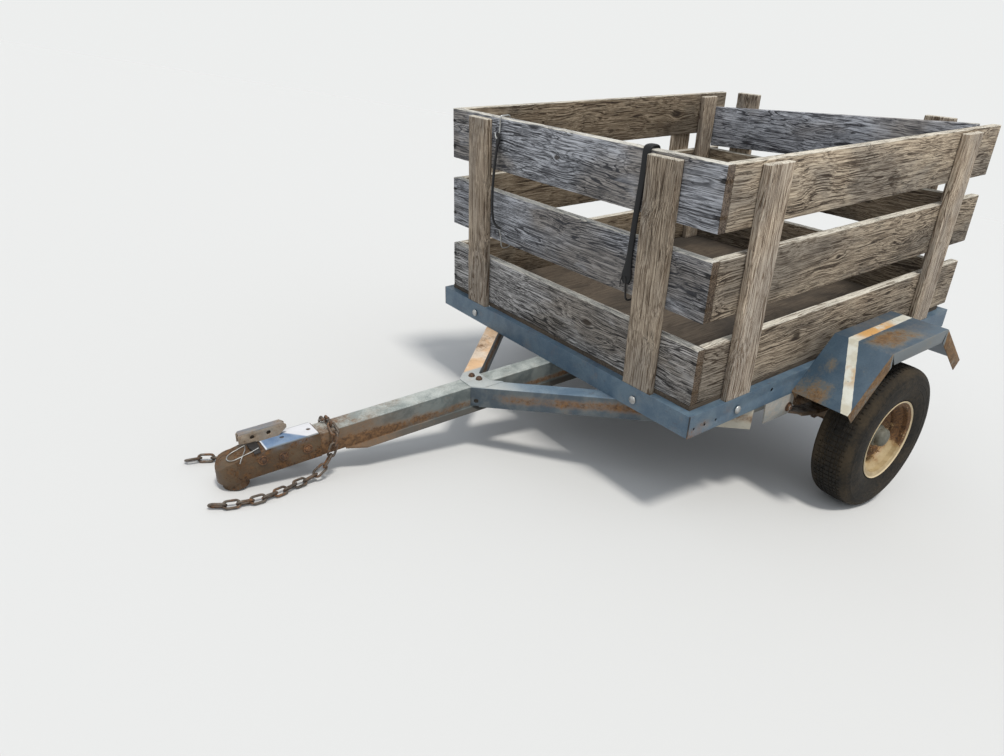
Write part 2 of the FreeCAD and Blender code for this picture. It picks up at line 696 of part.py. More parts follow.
def build_straps():
    face = board_outer_x + strap_stand
    middle = face + strap_thickness / 2.0
    top_z = deck_top + board_heights[2] + board_width
    foot_z = deck_top + board_heights[1]
    radius = hook_wire / 2.0
    inside = board_outer_x - board_thickness - radius - seat_gap
    bend = (middle - inside) / 2.0
    ahead, up = FreeCAD.Vector(1, 0, 0), FreeCAD.Vector(0, 0, 1)
    for label, side, inside_stake in straps:
        y = side * (front_stake_y - inside_stake)
        hooks = []
        for edge, way in ((top_z, 1), (foot_z, -1)):
            over = FreeCAD.Vector(inside + bend, y, edge)
            arc = bend_points(over, ahead, up * way, bend, 0, 180, 5)
            eye = FreeCAD.Vector(middle, y, edge - way * hook_shank)
            tip = FreeCAD.Vector(inside, y, edge - way * hook_tip)
            hooks.append(wire([eye] + arc + [tip], radius, FreeCAD.Vector(0, 1, 0)))
        nodes["strap_hooks_" + label] = Part.makeCompound(hooks)
        half = strap_width / 2.0
        nodes["strap_" + label] = box(face, face + strap_thickness, y - half, y + half,
                                      foot_z + hook_shank + seat_gap, top_z - hook_shank - seat_gap)


lean = rest_lean()
axle_height = tyre_radius


def at_rest(x, y, z):
    """Place of a point of the level trailer once it leans on its coupler."""
    rise = z - axle_height
    return FreeCAD.Vector(x * math.cos(lean) + rise * math.sin(lean), y,
                          axle_height - x * math.sin(lean) + rise * math.cos(lean))


def rested(shape):
    shape.rotate(FreeCAD.Vector(0, 0, axle_height), FreeCAD.Vector(0, 1, 0), math.degrees(lean))
    return shape


def chain_link(start, end, upright):
    """One link between two places, its face turned to the given direction."""
    along = (end - start).normalize()
    across = upright.cross(along).normalize()
    middle = (start + end) * 0.5
    end_radius = (link_opening + link_wire) / 2.0
    straight = (link_inner - link_opening) / 2.0
    corners = []
    for way in (1, -1):
        centre = middle + along * (way * straight)
        corners += bend_points(centre, along * way, across * way, end_radius, -90, 90, 3)
    return wire(corners, link_wire / 2.0, across.cross(along).normalize(), closed=True)


def walk(points, step):
    """Places spaced one step apart along a line of straight runs."""
    found = [points[0]]
    place = points[0]
    index = 0
    while index < len(points) - 1:
        target = points[index + 1]
        if (target - place).Length < step:
            index += 1
            continue
        base = points[index]
        low, high = 0.0, 1.0
        for _ in range(40):
            middle = (low + high) / 2.0
            if (base + (target - base) * middle - place).Length < step:
                low = middle
            else:
                high = middle
        place = base + (target - base) * high
        found.append(place)
    return found


def build_chain():
    """One chain over the tongue, whose two ends hang to the floor and run forward along it."""
    flat_half = link_wire / 2.0 * math.cos(math.pi / 6)
    end_radius = (link_opening + link_wire) / 2.0
    step = link_inner + link_wire - 2 * flat_half - link_play
    past = (link_inner + link_wire - step) / 2.0
    top_z = end_radius + flat_half + seat_gap
    tilt = math.radians(chain_tilt)
    floor_z = (end_radius + link_wire) * math.sqrt(0.5)
    fore = at_rest(1, 0, 0) - at_rest(0, 0, 0)
    ends = [at_rest(chain_x, side * step / 2.0, rail_bottom + top_z) for side in (-1, 1)]
    for label, side in (("left", 1), ("right", -1)):
        slant = at_rest(0, side * math.cos(tilt), -math.sin(tilt)) - at_rest(0, 0, 0)
        first = at_rest(chain_x, side * (step / 2.0 + past), rail_bottom + top_z - chain_sag)
        bend = first - slant * (past + 0.5)
        edge = bend + slant * step
        hung = edge + slant * past + FreeCAD.Vector(0, 0, past)
        drop = hung.z - floor_z
        route = [hung]
        for forward, outward, down in chain_fall:
            route.append(hung + FreeCAD.Vector(forward, side * outward, -down) * drop)
        for forward, outward in chain_lay[side]:
            route.append(FreeCAD.Vector(hung.x + forward * chain_run, hung.y + side * outward * chain_run,
                                        floor_z))
        spots = walk(route, step)
        links = [chain_link(ends[0], ends[1], fore)] if side > 0 else []
        links.append(chain_link(bend, edge, slant.cross(fore)))
        face = fore
        for number in range(len(spots) - 1):
            along = (spots[number + 1] - spots[number]).normalize()
            if 0 < number <= 45.0 / chain_twist:
                face = FreeCAD.Rotation(along, chain_twist).multVec(face)
            face = (face - along * along.dot(face)).normalize()
            upright = face if number % 2 == 0 else along.cross(face)
            links.append(chain_link(spots[number], spots[number + 1], upright))
        nodes["safety_chain_" + label] = Part.makeCompound(links)


build_frame()
build_cross_member()
build_deck_and_walls()
build_gate()
build_tongue()
build_braces()
build_coupler()
build_axle_and_springs()
build_wheels()
build_fenders()
build_straps()

for shape in nodes.values():
    rested(shape)

build_chain()

everything = Part.makeCompound(list(nodes.values()))
extent = everything.optimalBoundingBox(False)
shift = FreeCAD.Vector(-(extent.XMin + extent.XMax) / 2.0, 0, 0)
print("lean %.4f degrees, shift in x %.4f, lowest %.3f" % (math.degrees(lean), shift.x, extent.ZMin))

os.makedirs("parts", exist_ok=True)
for name, shape in nodes.items():
    shape.translate(shift)
    shape.exportStep("parts/%s.step" % name)
    print(name, "solids", len(shape.Solids), "volume %.0f" % shape.Volume, "valid", shape.isValid())
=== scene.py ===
import bpy
import json
import math
import numpy
from mathutils import Matrix, Vector


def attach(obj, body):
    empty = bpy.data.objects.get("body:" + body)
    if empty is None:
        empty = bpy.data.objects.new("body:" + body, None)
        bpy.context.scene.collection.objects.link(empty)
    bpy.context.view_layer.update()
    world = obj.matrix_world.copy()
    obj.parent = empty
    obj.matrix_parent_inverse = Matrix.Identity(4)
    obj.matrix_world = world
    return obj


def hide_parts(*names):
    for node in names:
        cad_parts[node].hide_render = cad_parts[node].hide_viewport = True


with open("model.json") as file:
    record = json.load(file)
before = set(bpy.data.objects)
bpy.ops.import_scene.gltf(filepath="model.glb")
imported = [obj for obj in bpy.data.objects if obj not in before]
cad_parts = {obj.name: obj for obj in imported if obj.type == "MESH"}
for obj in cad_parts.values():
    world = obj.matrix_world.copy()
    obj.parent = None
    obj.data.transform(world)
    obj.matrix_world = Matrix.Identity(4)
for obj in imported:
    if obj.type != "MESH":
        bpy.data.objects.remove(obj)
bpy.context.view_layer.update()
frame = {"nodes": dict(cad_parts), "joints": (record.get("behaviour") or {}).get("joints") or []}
bpy.ops.object.select_all(action="DESELECT")

# The trailer is dressed level, X forward from the axle, Y to its left, Z up from the
# ground, and each piece is then leaned forward with the CAD model. Sizes are metres.
joints = {joint["name"]: joint for joint in frame["joints"]}
wheel_place = joints["wheel_left_spin"]["pos_m"]
lift = joints["gate_lift"]["axis"]
lean = math.atan2(lift[0], lift[2])
axle = Vector((wheel_place[0], 0.0, wheel_place[2]))
to_rest = Matrix.Translation(axle) @ Matrix.Rotation(lean, 4, "Y") @ Matrix.Translation((0.0, 0.0, -axle.z))
to_level = to_rest.inverted()

tyre_radius = axle.z
wheel_y = wheel_place[1]
wheel_centre = Vector((0.0, wheel_y, tyre_radius))
half_bed = 0.5145
front_x = 0.666
rail_bottom = 0.358
deck_top = 0.427
board_width = 0.140
board_heights = (0.0, 0.202, 0.400)
board_front = 0.645
board_end_y = 0.4880
nail_rise = 0.036
brace_steel = 0.003
tongue_lip = 0.2980
coupler_half = 0.0288
coupler_top = 0.3615
lever_back = 0.3935
spring_y = 0.488
spring_eye_x = 0.262
clamp_top = 0.2535
fender_rear = -0.175
fender_fold = 0.112
fender_front = 0.262
fender_top = 0.491
fender_lip_y = 0.6700


# Handling of pieces

def only(piece):
    """Makes one piece the only selected and the active one."""
    bpy.ops.object.select_all(action="DESELECT")
    piece.select_set(True)
    bpy.context.view_layer.objects.active = piece


def primitive(add, place=(0, 0, 0), **sizes):
    """A mesh primitive at a place, made by its operator."""
    bpy.ops.object.select_all(action="DESELECT")
    add(location=place, **sizes)
    return bpy.context.active_object


def new_object(name, data):
    """An object in the scene that holds a mesh, a curve, a camera or a lamp."""
    made = bpy.data.objects.new(name, data)
    bpy.context.scene.collection.objects.link(made)
    return made


def apply_place(piece):
    only(piece)
    bpy.ops.object.transform_apply(location=True, rotation=True, scale=True)


def edit_all(piece):
    only(piece)
    bpy.ops.object.mode_set(mode="EDIT")
    bpy.ops.mesh.select_all(action="SELECT")


def done_editing():
    bpy.ops.object.mode_set(mode="OBJECT")


def pick(piece, test, kind="FACE"):
    """Opens a piece in edit mode with the faces or edges selected that pass the test."""
    only(piece)
    bpy.ops.object.mode_set(mode="EDIT")
    bpy.ops.mesh.select_mode(type=kind)
    bpy.ops.mesh.select_all(action="DESELECT")
    bpy.ops.object.mode_set(mode="OBJECT")
    mesh = piece.data
    if kind == "FACE":
        for face in mesh.polygons:
            face.select = test(face.center, face.normal)
    else:
        for edge in mesh.edges:
            start, end = (mesh.vertices[i].co for i in edge.vertices)
            edge.select = test((start + end) / 2.0, end - start)
    bpy.ops.object.mode_set(mode="EDIT")


def close_up(piece, reach=1e-5):
    """Merges doubles, clears loose edges and turns all faces outwards."""
    edit_all(piece)
    bpy.ops.mesh.remove_doubles(threshold=reach)
    bpy.ops.mesh.delete_loose()
    bpy.ops.mesh.select_all(action="SELECT")
    bpy.ops.mesh.normals_make_consistent(inside=False)
    done_editing()


def modify(piece, kind, **settings):
    only(piece)
    modifier = piece.modifiers.new(kind.lower(), kind)
    for name, value in settings.items():
        setattr(modifier, name, value)
    bpy.ops.object.modifier_apply(modifier=modifier.name)


def round_edges(piece, width, segments, angle):
    """Bevels the edges that turn by more than an angle."""
    modify(piece, "BEVEL", width=width, segments=segments, limit_method="ANGLE",
           angle_limit=math.radians(angle))


def twin(piece, place):
    """A copy with its own mesh, moved by a matrix."""
    copy = new_object(piece.name, piece.data.copy())
    copy.matrix_world = place @ piece.matrix_world
    return copy


def mirrored(piece):
    """The same piece on the trailer's other side."""
    copy = twin(piece, Matrix.Scale(-1.0, 4, (0.0, 1.0, 0.0)))
    apply_place(copy)
    edit_all(copy)
    bpy.ops.mesh.normals_make_consistent(inside=False)
    done_editing()
    return copy


def joined(pieces):
    """Several pieces as one."""
    only(pieces[0])
    for piece in pieces[1:]:
        piece.select_set(True)
    bpy.ops.object.join()
    return bpy.context.active_object


def set_at(pattern, places):
    """Copies of a piece at each (place, direction), joined as one. The pattern stands along +Z."""
    copies = []
    for place, direction in places:
        turn = Vector((0, 0, 1)).rotation_difference(Vector(direction)).to_matrix().to_4x4()
        copies.append(twin(pattern, Matrix.Translation(Vector(place)) @ turn))
    bpy.data.objects.remove(pattern)
    for copy in copies:
        apply_place(copy)
    return joined(copies)


def both_sides(*places):
    """The mirror images on the right of (place, direction) pairs, and then the pairs themselves."""
    return [((x, side * y, z), (ahead, side * out, up))
            for side in (-1, 1) for (x, y, z), (ahead, out, up) in places]


def settle(piece, name, material, smooth, body="chassis", instead_of=()):
    """Names and finishes a piece made on the level trailer, and leans it with the body it rides."""
    apply_place(piece)
    piece.matrix_world = to_rest
    apply_place(piece)
    bpy.ops.object.shade_smooth_by_angle(angle=math.radians(smooth))
    piece.name = name
    piece.data.name = name
    piece.data.materials.clear()
    piece.data.materials.append(material)
    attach(piece, body)
    if instead_of:
        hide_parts(*instead_of)


def stand_in(piece, node, material, smooth, body="chassis"):
    """Settles a piece that takes the place of a CAD node."""
    settle(piece, node + "_dressed", material, smooth, body, (node,))


def cad_copy(node):
    """A clean copy of a CAD node's mesh on the level trailer."""
    copy = new_object(node + "_copy", frame["nodes"][node].data.copy())
    copy.matrix_world = to_level
    apply_place(copy)
    edit_all(copy)
    bpy.ops.mesh.remove_doubles(threshold=1e-5)
    bpy.ops.mesh.dissolve_limited(angle_limit=math.radians(0.5))
    done_editing()
    return copy


def outline_ring(outline, centre):
    """A closed line through (radius, outward) pairs, straight above a centre."""
    ring = primitive(bpy.ops.mesh.primitive_circle_add, vertices=len(outline), fill_type="NOTHING")
    for vertex, (radius, out) in zip(ring.data.vertices, outline):
        vertex.co = Vector(centre) + Vector((0.0, out, radius))
    return ring


def spin(piece, centre, steps, angle, **how):
    """Spins all of a piece about an axle along Y."""
    edit_all(piece)
    bpy.ops.mesh.spin(steps=steps, angle=angle, center=centre, axis=(0.0, 1.0, 0.0), **how)
    done_editing()


def turned(outline, centre, steps):
    """A full turning of a closed outline."""
    ring = outline_ring(outline, centre)
    spin(ring, centre, steps, math.tau)
    close_up(ring)
    return ring


def run_of(points, radius, closed=False, turns=3, kind="POLY"):
    """A round bar along a line of points, as a closed mesh."""
    line = bpy.data.curves.new("line", "CURVE")
    line.dimensions = "3D"
    spline = line.splines.new(kind)
    spline.points.add(len(points) - 1)
    for target, point in zip(spline.points, points):
        target.co = (*point, 1.0)
    spline.use_cyclic_u = closed
    if kind == "NURBS":
        spline.order_u = 3
        spline.use_endpoint_u = not closed
        spline.resolution_u = 6
    line.bevel_depth = radius
    line.bevel_resolution = turns
    line.use_fill_caps = not closed
    only(new_object("bar", line))
    bpy.ops.object.convert(target="MESH")
    bar = bpy.context.active_object
    close_up(bar)
    return bar


# Node graphs of the finishes. A colour is written as (red, green, blue).

class Value:
    """A socket in a node tree. Arithmetic with it adds Math nodes to its tree."""

    def __init__(self, socket):
        self.socket = socket
        self.tree = socket.id_data

    def __add__(self, other):
        return compute("ADD", self, other)

    def __sub__(self, other):
        return compute("SUBTRACT", self, other)

    def __rsub__(self, other):
        return compute("SUBTRACT", other, self)

    def __mul__(self, other):
        return compute("MULTIPLY", self, other)

    def __truediv__(self, other):
        return compute("DIVIDE", self, other)

    def __abs__(self):
        return compute("ABSOLUTE", self)

    __radd__ = __add__

    def ramp(self, low, high, start=0.0, end=1.0, course="LINEAR"):
        """Carried from one range to another in a straight, clamped line."""
        span = (self, low, high, start, end)
        return Value(add_node(self.tree, "ShaderNodeMapRange", *span, interpolation_type=course).outputs[0])

    def spread(self, low, high, start=0.0, end=1.0):
        """Carried from one range to another, clamped, with a soft start and end."""
        return self.ramp(low, high, start, end, "SMOOTHSTEP")

    def near(self, middle, inside, outside, strength=1.0):
        """Strength where it lies near a middle, fading out between two distances from it."""
        return abs(self - middle).spread(inside, outside, strength, 0.0)


def feed(socket, value):
    """Links a value to a socket, or sets a constant there. A colour gets its alpha here."""
    if isinstance(value, Value):
        socket.id_data.links.new(value.socket, socket)
    elif value is not None:
        socket.default_value = (*value, 1.0) if socket.type == "RGBA" else value


def feed_named(node, values):
    for label, value in values.items():
        feed(node.inputs[label], value)


def add_node(tree, kind, *values, **settings):
    """A new node with its settings, its first inputs fed in their order."""
    made = tree.nodes.new(kind)
    for name, value in settings.items():
        setattr(made, name, value)
    for socket, value in zip(made.inputs, values):
        feed(socket, value)
    return made


def tree_of(values):
    return next(value.tree for value in values if isinstance(value, Value))


def compute(operation, *values):
    """A Math node, or a Vector Math node where a value is a vector."""
    flow = any(value.socket.type == "VECTOR" if isinstance(value, Value) else isinstance(value, tuple)
               for value in values)
    kind = "ShaderNodeVectorMath" if flow else "ShaderNodeMath"
    return Value(add_node(tree_of(values), kind, *values, operation=operation).outputs[0])


def length(vector):
    return Value(add_node(vector.tree, "ShaderNodeVectorMath", vector, operation="LENGTH").outputs["Value"])


def parts(vector):
    return [Value(socket) for socket in add_node(vector.tree, "ShaderNodeSeparateXYZ", vector).outputs]


def placed(*axes):
    return Value(add_node(tree_of(axes), "ShaderNodeCombineXYZ", *axes).outputs[0])


def noise(place, scale, detail=3.0, roughness=0.5, distortion=0.0):
    made = add_node(place.tree, "ShaderNodeTexNoise", place)
    feed_named(made, {"Scale": scale, "Detail": detail, "Roughness": roughness, "Distortion": distortion})
    return Value(made.outputs["Fac"])


def streaked(place, along, across, detail=3.0, roughness=0.5, distortion=0.0):
    """Noise of one scale along X and another across it."""
    return noise(place * (along, across, across), 1.0, detail, roughness, distortion)


def mix(mask, first, second):
    """The first colour, and the second one where the mask is."""
    made = add_node(mask.tree, "ShaderNodeMix", mask, data_type="RGBA")
    first_colour, second_colour, mixed_colour = 6, 7, 2
    feed(made.inputs[first_colour], first)
    feed(made.inputs[second_colour], second)
    return Value(made.outputs[mixed_colour])


def layered(body, *layers):
    """A colour with (mask, colour) layers laid over it in turn."""
    for mask, shade in layers:
        body = mix(mask, body, shade)
    return body


def label_of(name):
    return name.replace("_", " ").capitalize()


def effect(name, **inputs):
    """A new shader node group and its inputs, where None stands for a vector."""
    tree = bpy.data.node_groups.new(name, "ShaderNodeTree")
    for given, value in inputs.items():
        kind = "NodeSocketVector" if value is None else "NodeSocketFloat"
        socket = tree.interface.new_socket(name=label_of(given), in_out="INPUT", socket_type=kind)
        if value is not None:
            socket.default_value = value
    entry = add_node(tree, "NodeGroupInput")
    return tree, [Value(entry.outputs[label_of(given)]) for given in inputs]


def give_out(tree, **outputs):
    """Ends a group with its named outputs."""
    for name in outputs:
        tree.interface.new_socket(name=label_of(name), in_out="OUTPUT", socket_type="NodeSocketFloat")
    add_node(tree, "NodeGroupOutput", *outputs.values())
    return tree


def use(group, **inputs):
    """A group placed in a material: its outputs by their labels."""
    made = add_node(tree_of(inputs.values()), "ShaderNodeGroup", node_tree=group)
    feed_named(made, {label_of(name): value for name, value in inputs.items()})
    return {socket.name: Value(socket) for socket in made.outputs}


def make_grain():
    """Fibres, growth lines, drying cracks and one knot, with the grain along X."""
    tree, (place, seed, knot, knot_size, wear) = effect(
        "weathered_grain", place=None, seed=0.0, knot=None, knot_size=0.02, wear=0.5)
    away = place - knot
    reach = length(away * (0.6, 1.0, 1.0)) / knot_size
    hold = compute("DIVIDE", 1.0, compute("POWER", reach * 0.6, 3.0) + 1.0)
    bent = place - away * (0.0, 0.8, 0.8) * hold + seed * (7.31, 3.17, 5.53)
    aside = streaked(bent, 3.0, 5.0, 2.0) * 0.05 + streaked(bent, 9.0, 20.0, 2.0) * 0.010
    swayed = bent + placed(0.0, aside, aside)
    fibres = streaked(swayed, 9.0, 480.0, 3.0, 0.80, 0.10)
    streaks = streaked(swayed, 2.2, 250.0, 5.0, 0.80, 0.15)
    patch = streaked(bent, 4.0, 12.0).spread(0.38, 0.62)
    bands = streaked(swayed, 0.9, 24.0, 2.0, 0.5, 0.3)
    lines = compute("SINE", bands * 130.0).spread(0.35, 1.0) * (patch * 0.75 + 0.25)
    split = streaked(swayed, 3.2, 105.0, 3.0, 0.6, 0.35).near(0.5, 0.002, 0.012)
    limit = 0.68 - wear * 0.30
    opened = streaked(bent, 6.0, 22.0).spread(limit, limit + 0.10)
    checks = streaked(swayed, 4.0, 240.0, 2.0, 0.6, 0.2).near(0.5, 0.003, 0.013, 0.50)
    cracks = compute("MAXIMUM", split * opened, checks * patch)
    return give_out(
        tree,
        tone=fibres * 0.58 + streaks * 0.54 - lines * 0.15,
        cracks=cracks,
        stains=streaked(bent, 7.0, 17.0, 5.0, 0.65, 0.6),
        drift=streaked(bent, 2.5, 6.0, 3.0, 0.6, 0.3),
        knot_dark=((streaks - 0.5) * 1.6 + reach).spread(0.45, 1.35, 1.0, 0.0),
        height=fibres * 0.6 + streaks * 0.7 - lines * 0.25 - cracks * 1.5)


def make_rust():
    """Patches of rust with ragged or soft edges, flecks inside them and a rough height."""
    tree, (place, amount, size, softness) = effect(
        "rust_patches", place=None, amount=0.3, size=12.0, softness=0.05)
    broad = noise(place, size, 5.0, 0.62, 0.3)
    fine = noise(place, size * 11.0, 4.0, 0.7)
    level = 0.80 - amount * 0.60
    mask = (fine * 0.34 + broad * 0.66).spread(level - softness, level + softness)
    fleck = noise(place, size * 6.0, 5.0, 0.75, 0.2)
    return give_out(tree, mask=mask, fleck=fleck.spread(0.30, 0.70), height=mask * (fleck * 0.8 + 0.3))


def make_dust():
    """Dry soil that gathers in a soft cloudy layer."""
    tree, (place, amount) = effect("dry_dust", place=None, amount=0.4)
    cloud = noise(place, 9.0, 5.0, 0.65, 0.4)
    speck = noise(place, 140.0, 3.0, 0.7)
    level = 0.82 - amount * 0.64
    return give_out(tree, mask=(speck * 0.35 + cloud * 0.65).spread(level - 0.14, level + 0.14))


grain = make_grain()
rust = make_rust()
dust = make_dust()

plain_rusts = ((0.060, 0.034, 0.022), (0.230, 0.110, 0.045))
brown_rusts = ((0.050, 0.032, 0.022), (0.150, 0.085, 0.042))
soft_rusts = ((0.115, 0.068, 0.040), (0.330, 0.200, 0.110))
warm_rusts = ((0.060, 0.033, 0.018), (0.200, 0.105, 0.045))
# The coupler's rust colours are darkened further as painted shade.
coupler_rusts_in_shade = ((0.020, 0.012, 0.007), (0.155, 0.072, 0.024))
fender_rusts = ((0.070, 0.038, 0.018), (0.200, 0.112, 0.045))
rim_rusts = ((0.034, 0.018, 0.010), (0.165, 0.078, 0.026))
pale_halo = (0.36, 0.235, 0.135)
warm_halo = (0.215, 0.125, 0.062)
soil = (0.26, 0.20, 0.135)


def finish(name, roughness, metallic=0.0, specular=0.4):
    """A new material, its shader and the place on the level trailer."""
    material = bpy.data.materials.new(name)
    material.use_nodes = True
    tree = material.node_tree
    shader = tree.nodes["Principled BSDF"]
    feed_named(shader, {"Roughness": roughness, "Metallic": metallic, "Specular IOR Level": specular})
    coordinates = Value(add_node(tree, "ShaderNodeTexCoord").outputs["Object"])
    level = add_node(tree, "ShaderNodeMapping", coordinates, to_level.to_translation(), (0.0, -lean, 0.0))
    return material, shader, Value(level.outputs[0])


def cover(shader, body, height, distance, strength, roughness=None):
    """Gives a shader its colour and its bumps, and roughness where that varies."""
    bump = add_node(shader.id_data, "ShaderNodeBump")
    feed_named(bump, {"Strength": strength, "Distance": distance, "Height": height})
    feed_named(shader, {"Base Color": body, "Roughness": roughness, "Normal": Value(bump.outputs["Normal"])})


def rust_over(level, body, share, size, softness=0.05, rusts=plain_rusts, halo=None, hold=1.0):
    """A colour with rust over it, the rust's mask and its height.

    A halo of (further share, softness, strength, colour) stains the paint round the rust.
    """
    made = use(rust, place=level, amount=share, size=size, softness=softness)
    if halo:
        further, soft, strength, pale = halo
        wide = use(rust, place=level, amount=share + further, size=size, softness=soft)["Mask"]
        body = mix(wide * strength, body, pale)
    return mix(made["Mask"] * hold, body, mix(made["Fleck"], *rusts)), made["Mask"], made["Height"]


def dusted(level, body, amount, strength, shade=soil):
    return mix(use(dust, place=level, amount=amount)["Mask"] * strength, body, shade)


# Wood finishes, each with a dark, a middle and a light tone and one that it drifts to

# The grey sets are weathered grey wood with painted shade: their blue-grey copies open, sky-lit shade on the
# boards that use them.
sky_shaded_greys = ((0.042, 0.042, 0.047), (0.165, 0.169, 0.182), (0.46, 0.47, 0.50), (0.225, 0.188, 0.148))
browns = ((0.048, 0.033, 0.022), (0.225, 0.173, 0.122), (0.53, 0.44, 0.325), (0.195, 0.178, 0.155))
tans = ((0.096, 0.066, 0.043), (0.268, 0.208, 0.150), (0.50, 0.415, 0.315), (0.240, 0.220, 0.195))
inners = ((0.040, 0.027, 0.017), (0.140, 0.102, 0.066), (0.31, 0.25, 0.175), (0.115, 0.100, 0.080))
dark_sky_shaded_greys = ((0.028, 0.026, 0.025), (0.138, 0.134, 0.132), (0.46, 0.45, 0.44), (0.195, 0.160, 0.122))
bleached_and_sunlit = (0.74, 0.70, 0.60)
crack_dark = (0.014, 0.011, 0.009)
knot_dark = (0.026, 0.018, 0.012)
nail_stain = (0.008, 0.007, 0.008)
end_grains = ((0.035, 0.021, 0.011), (0.150, 0.100, 0.058))
no_knot = ((50.0, 50.0, 50.0), 0.02)

# Rows of node, grain, seed, tones, their shade and wear. The shade makes a board's tones lighter or darker as
# painted light and shade.
wooden = [
    ("board_front_1", "Y", 1.3, dark_sky_shaded_greys, 1.00, 0.60),
    ("board_front_2", "Y", 2.1, sky_shaded_greys, 0.86, 0.60),
    ("board_front_3", "Y", 3.7, sky_shaded_greys, 1.00, 0.75),
    ("board_left_1", "X", 4.2, browns, 0.84, 0.55),
    ("board_left_2", "X", 5.9, browns, 0.80, 0.60),
    ("board_left_3", "X", 6.4, browns, 1.10, 0.95),
    ("board_right_1", "X", 7.8, inners, 1.00, 0.50),
    ("board_right_2", "X", 8.3, inners, 1.00, 0.50),
    ("board_right_3", "X", 9.6, inners, 1.12, 0.75),
    ("gate_board_1", "Y", 10.2, inners, 1.00, 0.50),
    ("gate_board_2", "Y", 11.7, inners, 1.00, 0.50),
    ("gate_board_3", "Y", 12.4, sky_shaded_greys, 1.30, 0.35),
    ("stake_front_left", "Z", 13.1, tans, 0.84, 0.40),
    ("stake_front_right", "Z", 14.5, tans, 0.98, 0.40),
    ("stake_side_front_left", "Z", 15.2, tans, 1.30, 0.40),
    ("stake_side_front_right", "Z", 16.8, tans, 1.30, 0.40),
    ("stake_side_rear_left", "Z", 17.3, tans, 1.30, 0.40),
    ("stake_side_rear_right", "Z", 18.9, tans, 1.30, 0.40),
    ("cleat_left", "Z", 19.4, tans, 1.00, 0.40),
    ("cleat_right", "Z", 20.6, tans, 1.00, 0.40),
    ("gate_stake_left", "Z", 21.2, tans, 1.00, 0.40),
    ("gate_stake_right", "Z", 22.7, tans, 1.00, 0.90),
]

# Each knot's place and radius
knots = {
    "board_front_1": ((0.645, 0.135, 0.510), 0.010),
    "board_front_3": ((0.645, -0.02, 0.900), 0.007),
    "board_left_1": ((0.262, 0.4935, 0.512), 0.011),
    "board_left_2": ((0.15, 0.4935, 0.70), 0.006),
    "board_right_2": ((0.2, -0.47, 0.69), 0.008),
    "board_right_3": ((-0.30, -0.4695, 0.905), 0.016),
    "gate_board_2": ((-0.50, 0.2, 0.70), 0.009),
    "gate_board_3": ((-0.503, 0.36, 0.90), 0.010),
    "gate_stake_right": ((-0.53, -0.338, 0.955), 0.006),
}


def with_painted_light(tones, share):
    """A set of tones, all lighter or darker by one share: painted light above one, painted shade below it."""
    return [tuple(min(0.95, part * share) for part in tone) for tone in tones]


def nailed_ends(body, made, across, z, middle_z, end):
    """Black stains and thin cracks at the nails of a front board, and brown grain on its sawn ends."""
    tone = made["Tone"]
    aside = abs(across) - board_end_y
    off = abs(z - middle_z) - nail_rise
    ragged = length(placed(aside * 0.42, off, 0.0)) + (tone - 0.5) * 0.012
    bent = off + (made["Drift"] - 0.5) * 0.030
    sawn = mix(tone.spread(0.45, 0.65), *end_grains)
    return layered(
        body,
        (ragged.spread(0.0030, 0.0085, 0.95, 0.0), nail_stain),
        (bent.near(0.0, 0.0005, 0.0016, 0.85) * aside.spread(-0.110, -0.060), crack_dark),
        (abs(across).spread(end - 0.0020, end - 0.0012, 0.0, 0.86), sawn))


def wood(node, along, seed, tones, wear, top, end):
    """Weathered sawn wood with its grain along one axis and the edge at its top bleached and lightened
    further as a painted sunlit highlight.
    """
    dark, middle, light, other = tones
    material, shader, level = finish("wood_" + node, 0.85, 0.0, 0.25)
    axes = parts(level)
    order = {"X": (0, 1, 2), "Y": (1, 0, 2), "Z": (2, 0, 1)}[along]
    run = [axes[i] for i in order]
    knot, knot_size = knots.get(node, no_knot)
    made = use(grain, place=placed(*run), seed=seed, knot=tuple(knot[i] for i in order), knot_size=knot_size,
               wear=wear)
    tone, stains = made["Tone"], made["Stains"]
    body = layered(
        dark,
        (tone.spread(0.440, 0.530), middle),
        (tone.spread(0.525, 0.630), light),
        (made["Drift"].spread(0.42, 0.62, 0.0, 0.65), mix(tone.spread(0.44, 0.61), dark, other)),
        (stains.spread(0.52, 0.74, 0.0, 0.50), dark),
        (stains.spread(0.26, 0.46, 0.45, 0.0), light),
        # Lighter top edge: bleached wood and a painted sunlit highlight.
        (axes[2].spread(top - 0.0032, top - 0.0012, 0.0, 0.75), mix(tone.spread(0.4, 0.6), middle, bleached_and_sunlit)),
        (made["Cracks"] * 0.88, crack_dark),
        (made["Knot dark"] * 0.85, knot_dark))
    if node.startswith("board_front"):
        body = nailed_ends(body, made, run[0], axes[2], top - board_width / 2.0, end)
    cover(shader, body, made["Height"], 0.0012, 0.9)
    return material


def dress_wood():
    """Each board and stake gets softened, slightly chewed edges and its own grain."""
    softening, bite, steps_apart = 0.0022, 0.0005, 0.011
    for number, (node, along, seed, tones, shade, wear) in enumerate(wooden):
        board = cad_copy(node)
        longest = max(board.dimensions)
        top = max(vertex.co.z for vertex in board.data.vertices)
        end = max(abs(vertex.co.y) for vertex in board.data.vertices)
        edit_all(board)
        bpy.ops.transform.shrink_fatten(value=-bite)
        done_editing()
        pick(board, lambda middle, run: run.length > 0.9 * longest, "EDGE")
        bpy.ops.mesh.subdivide(number_cuts=int(longest / steps_apart))
        done_editing()
        round_edges(board, softening, 2, 60.0)
        edit_all(board)
        bpy.ops.transform.vertex_random(offset=bite, seed=number + 1)
        done_editing()
        # Painted light and shade: the row's share lightens or darkens its tones.
        material = wood(node, along, seed, with_painted_light(tones, shade), wear, top, end)
        stand_in(board, node, material, 40.0, "gate" if node.startswith("gate") else "chassis")


# Steel finishes. The extra rust and the tints are worked out from the place x, y, z.

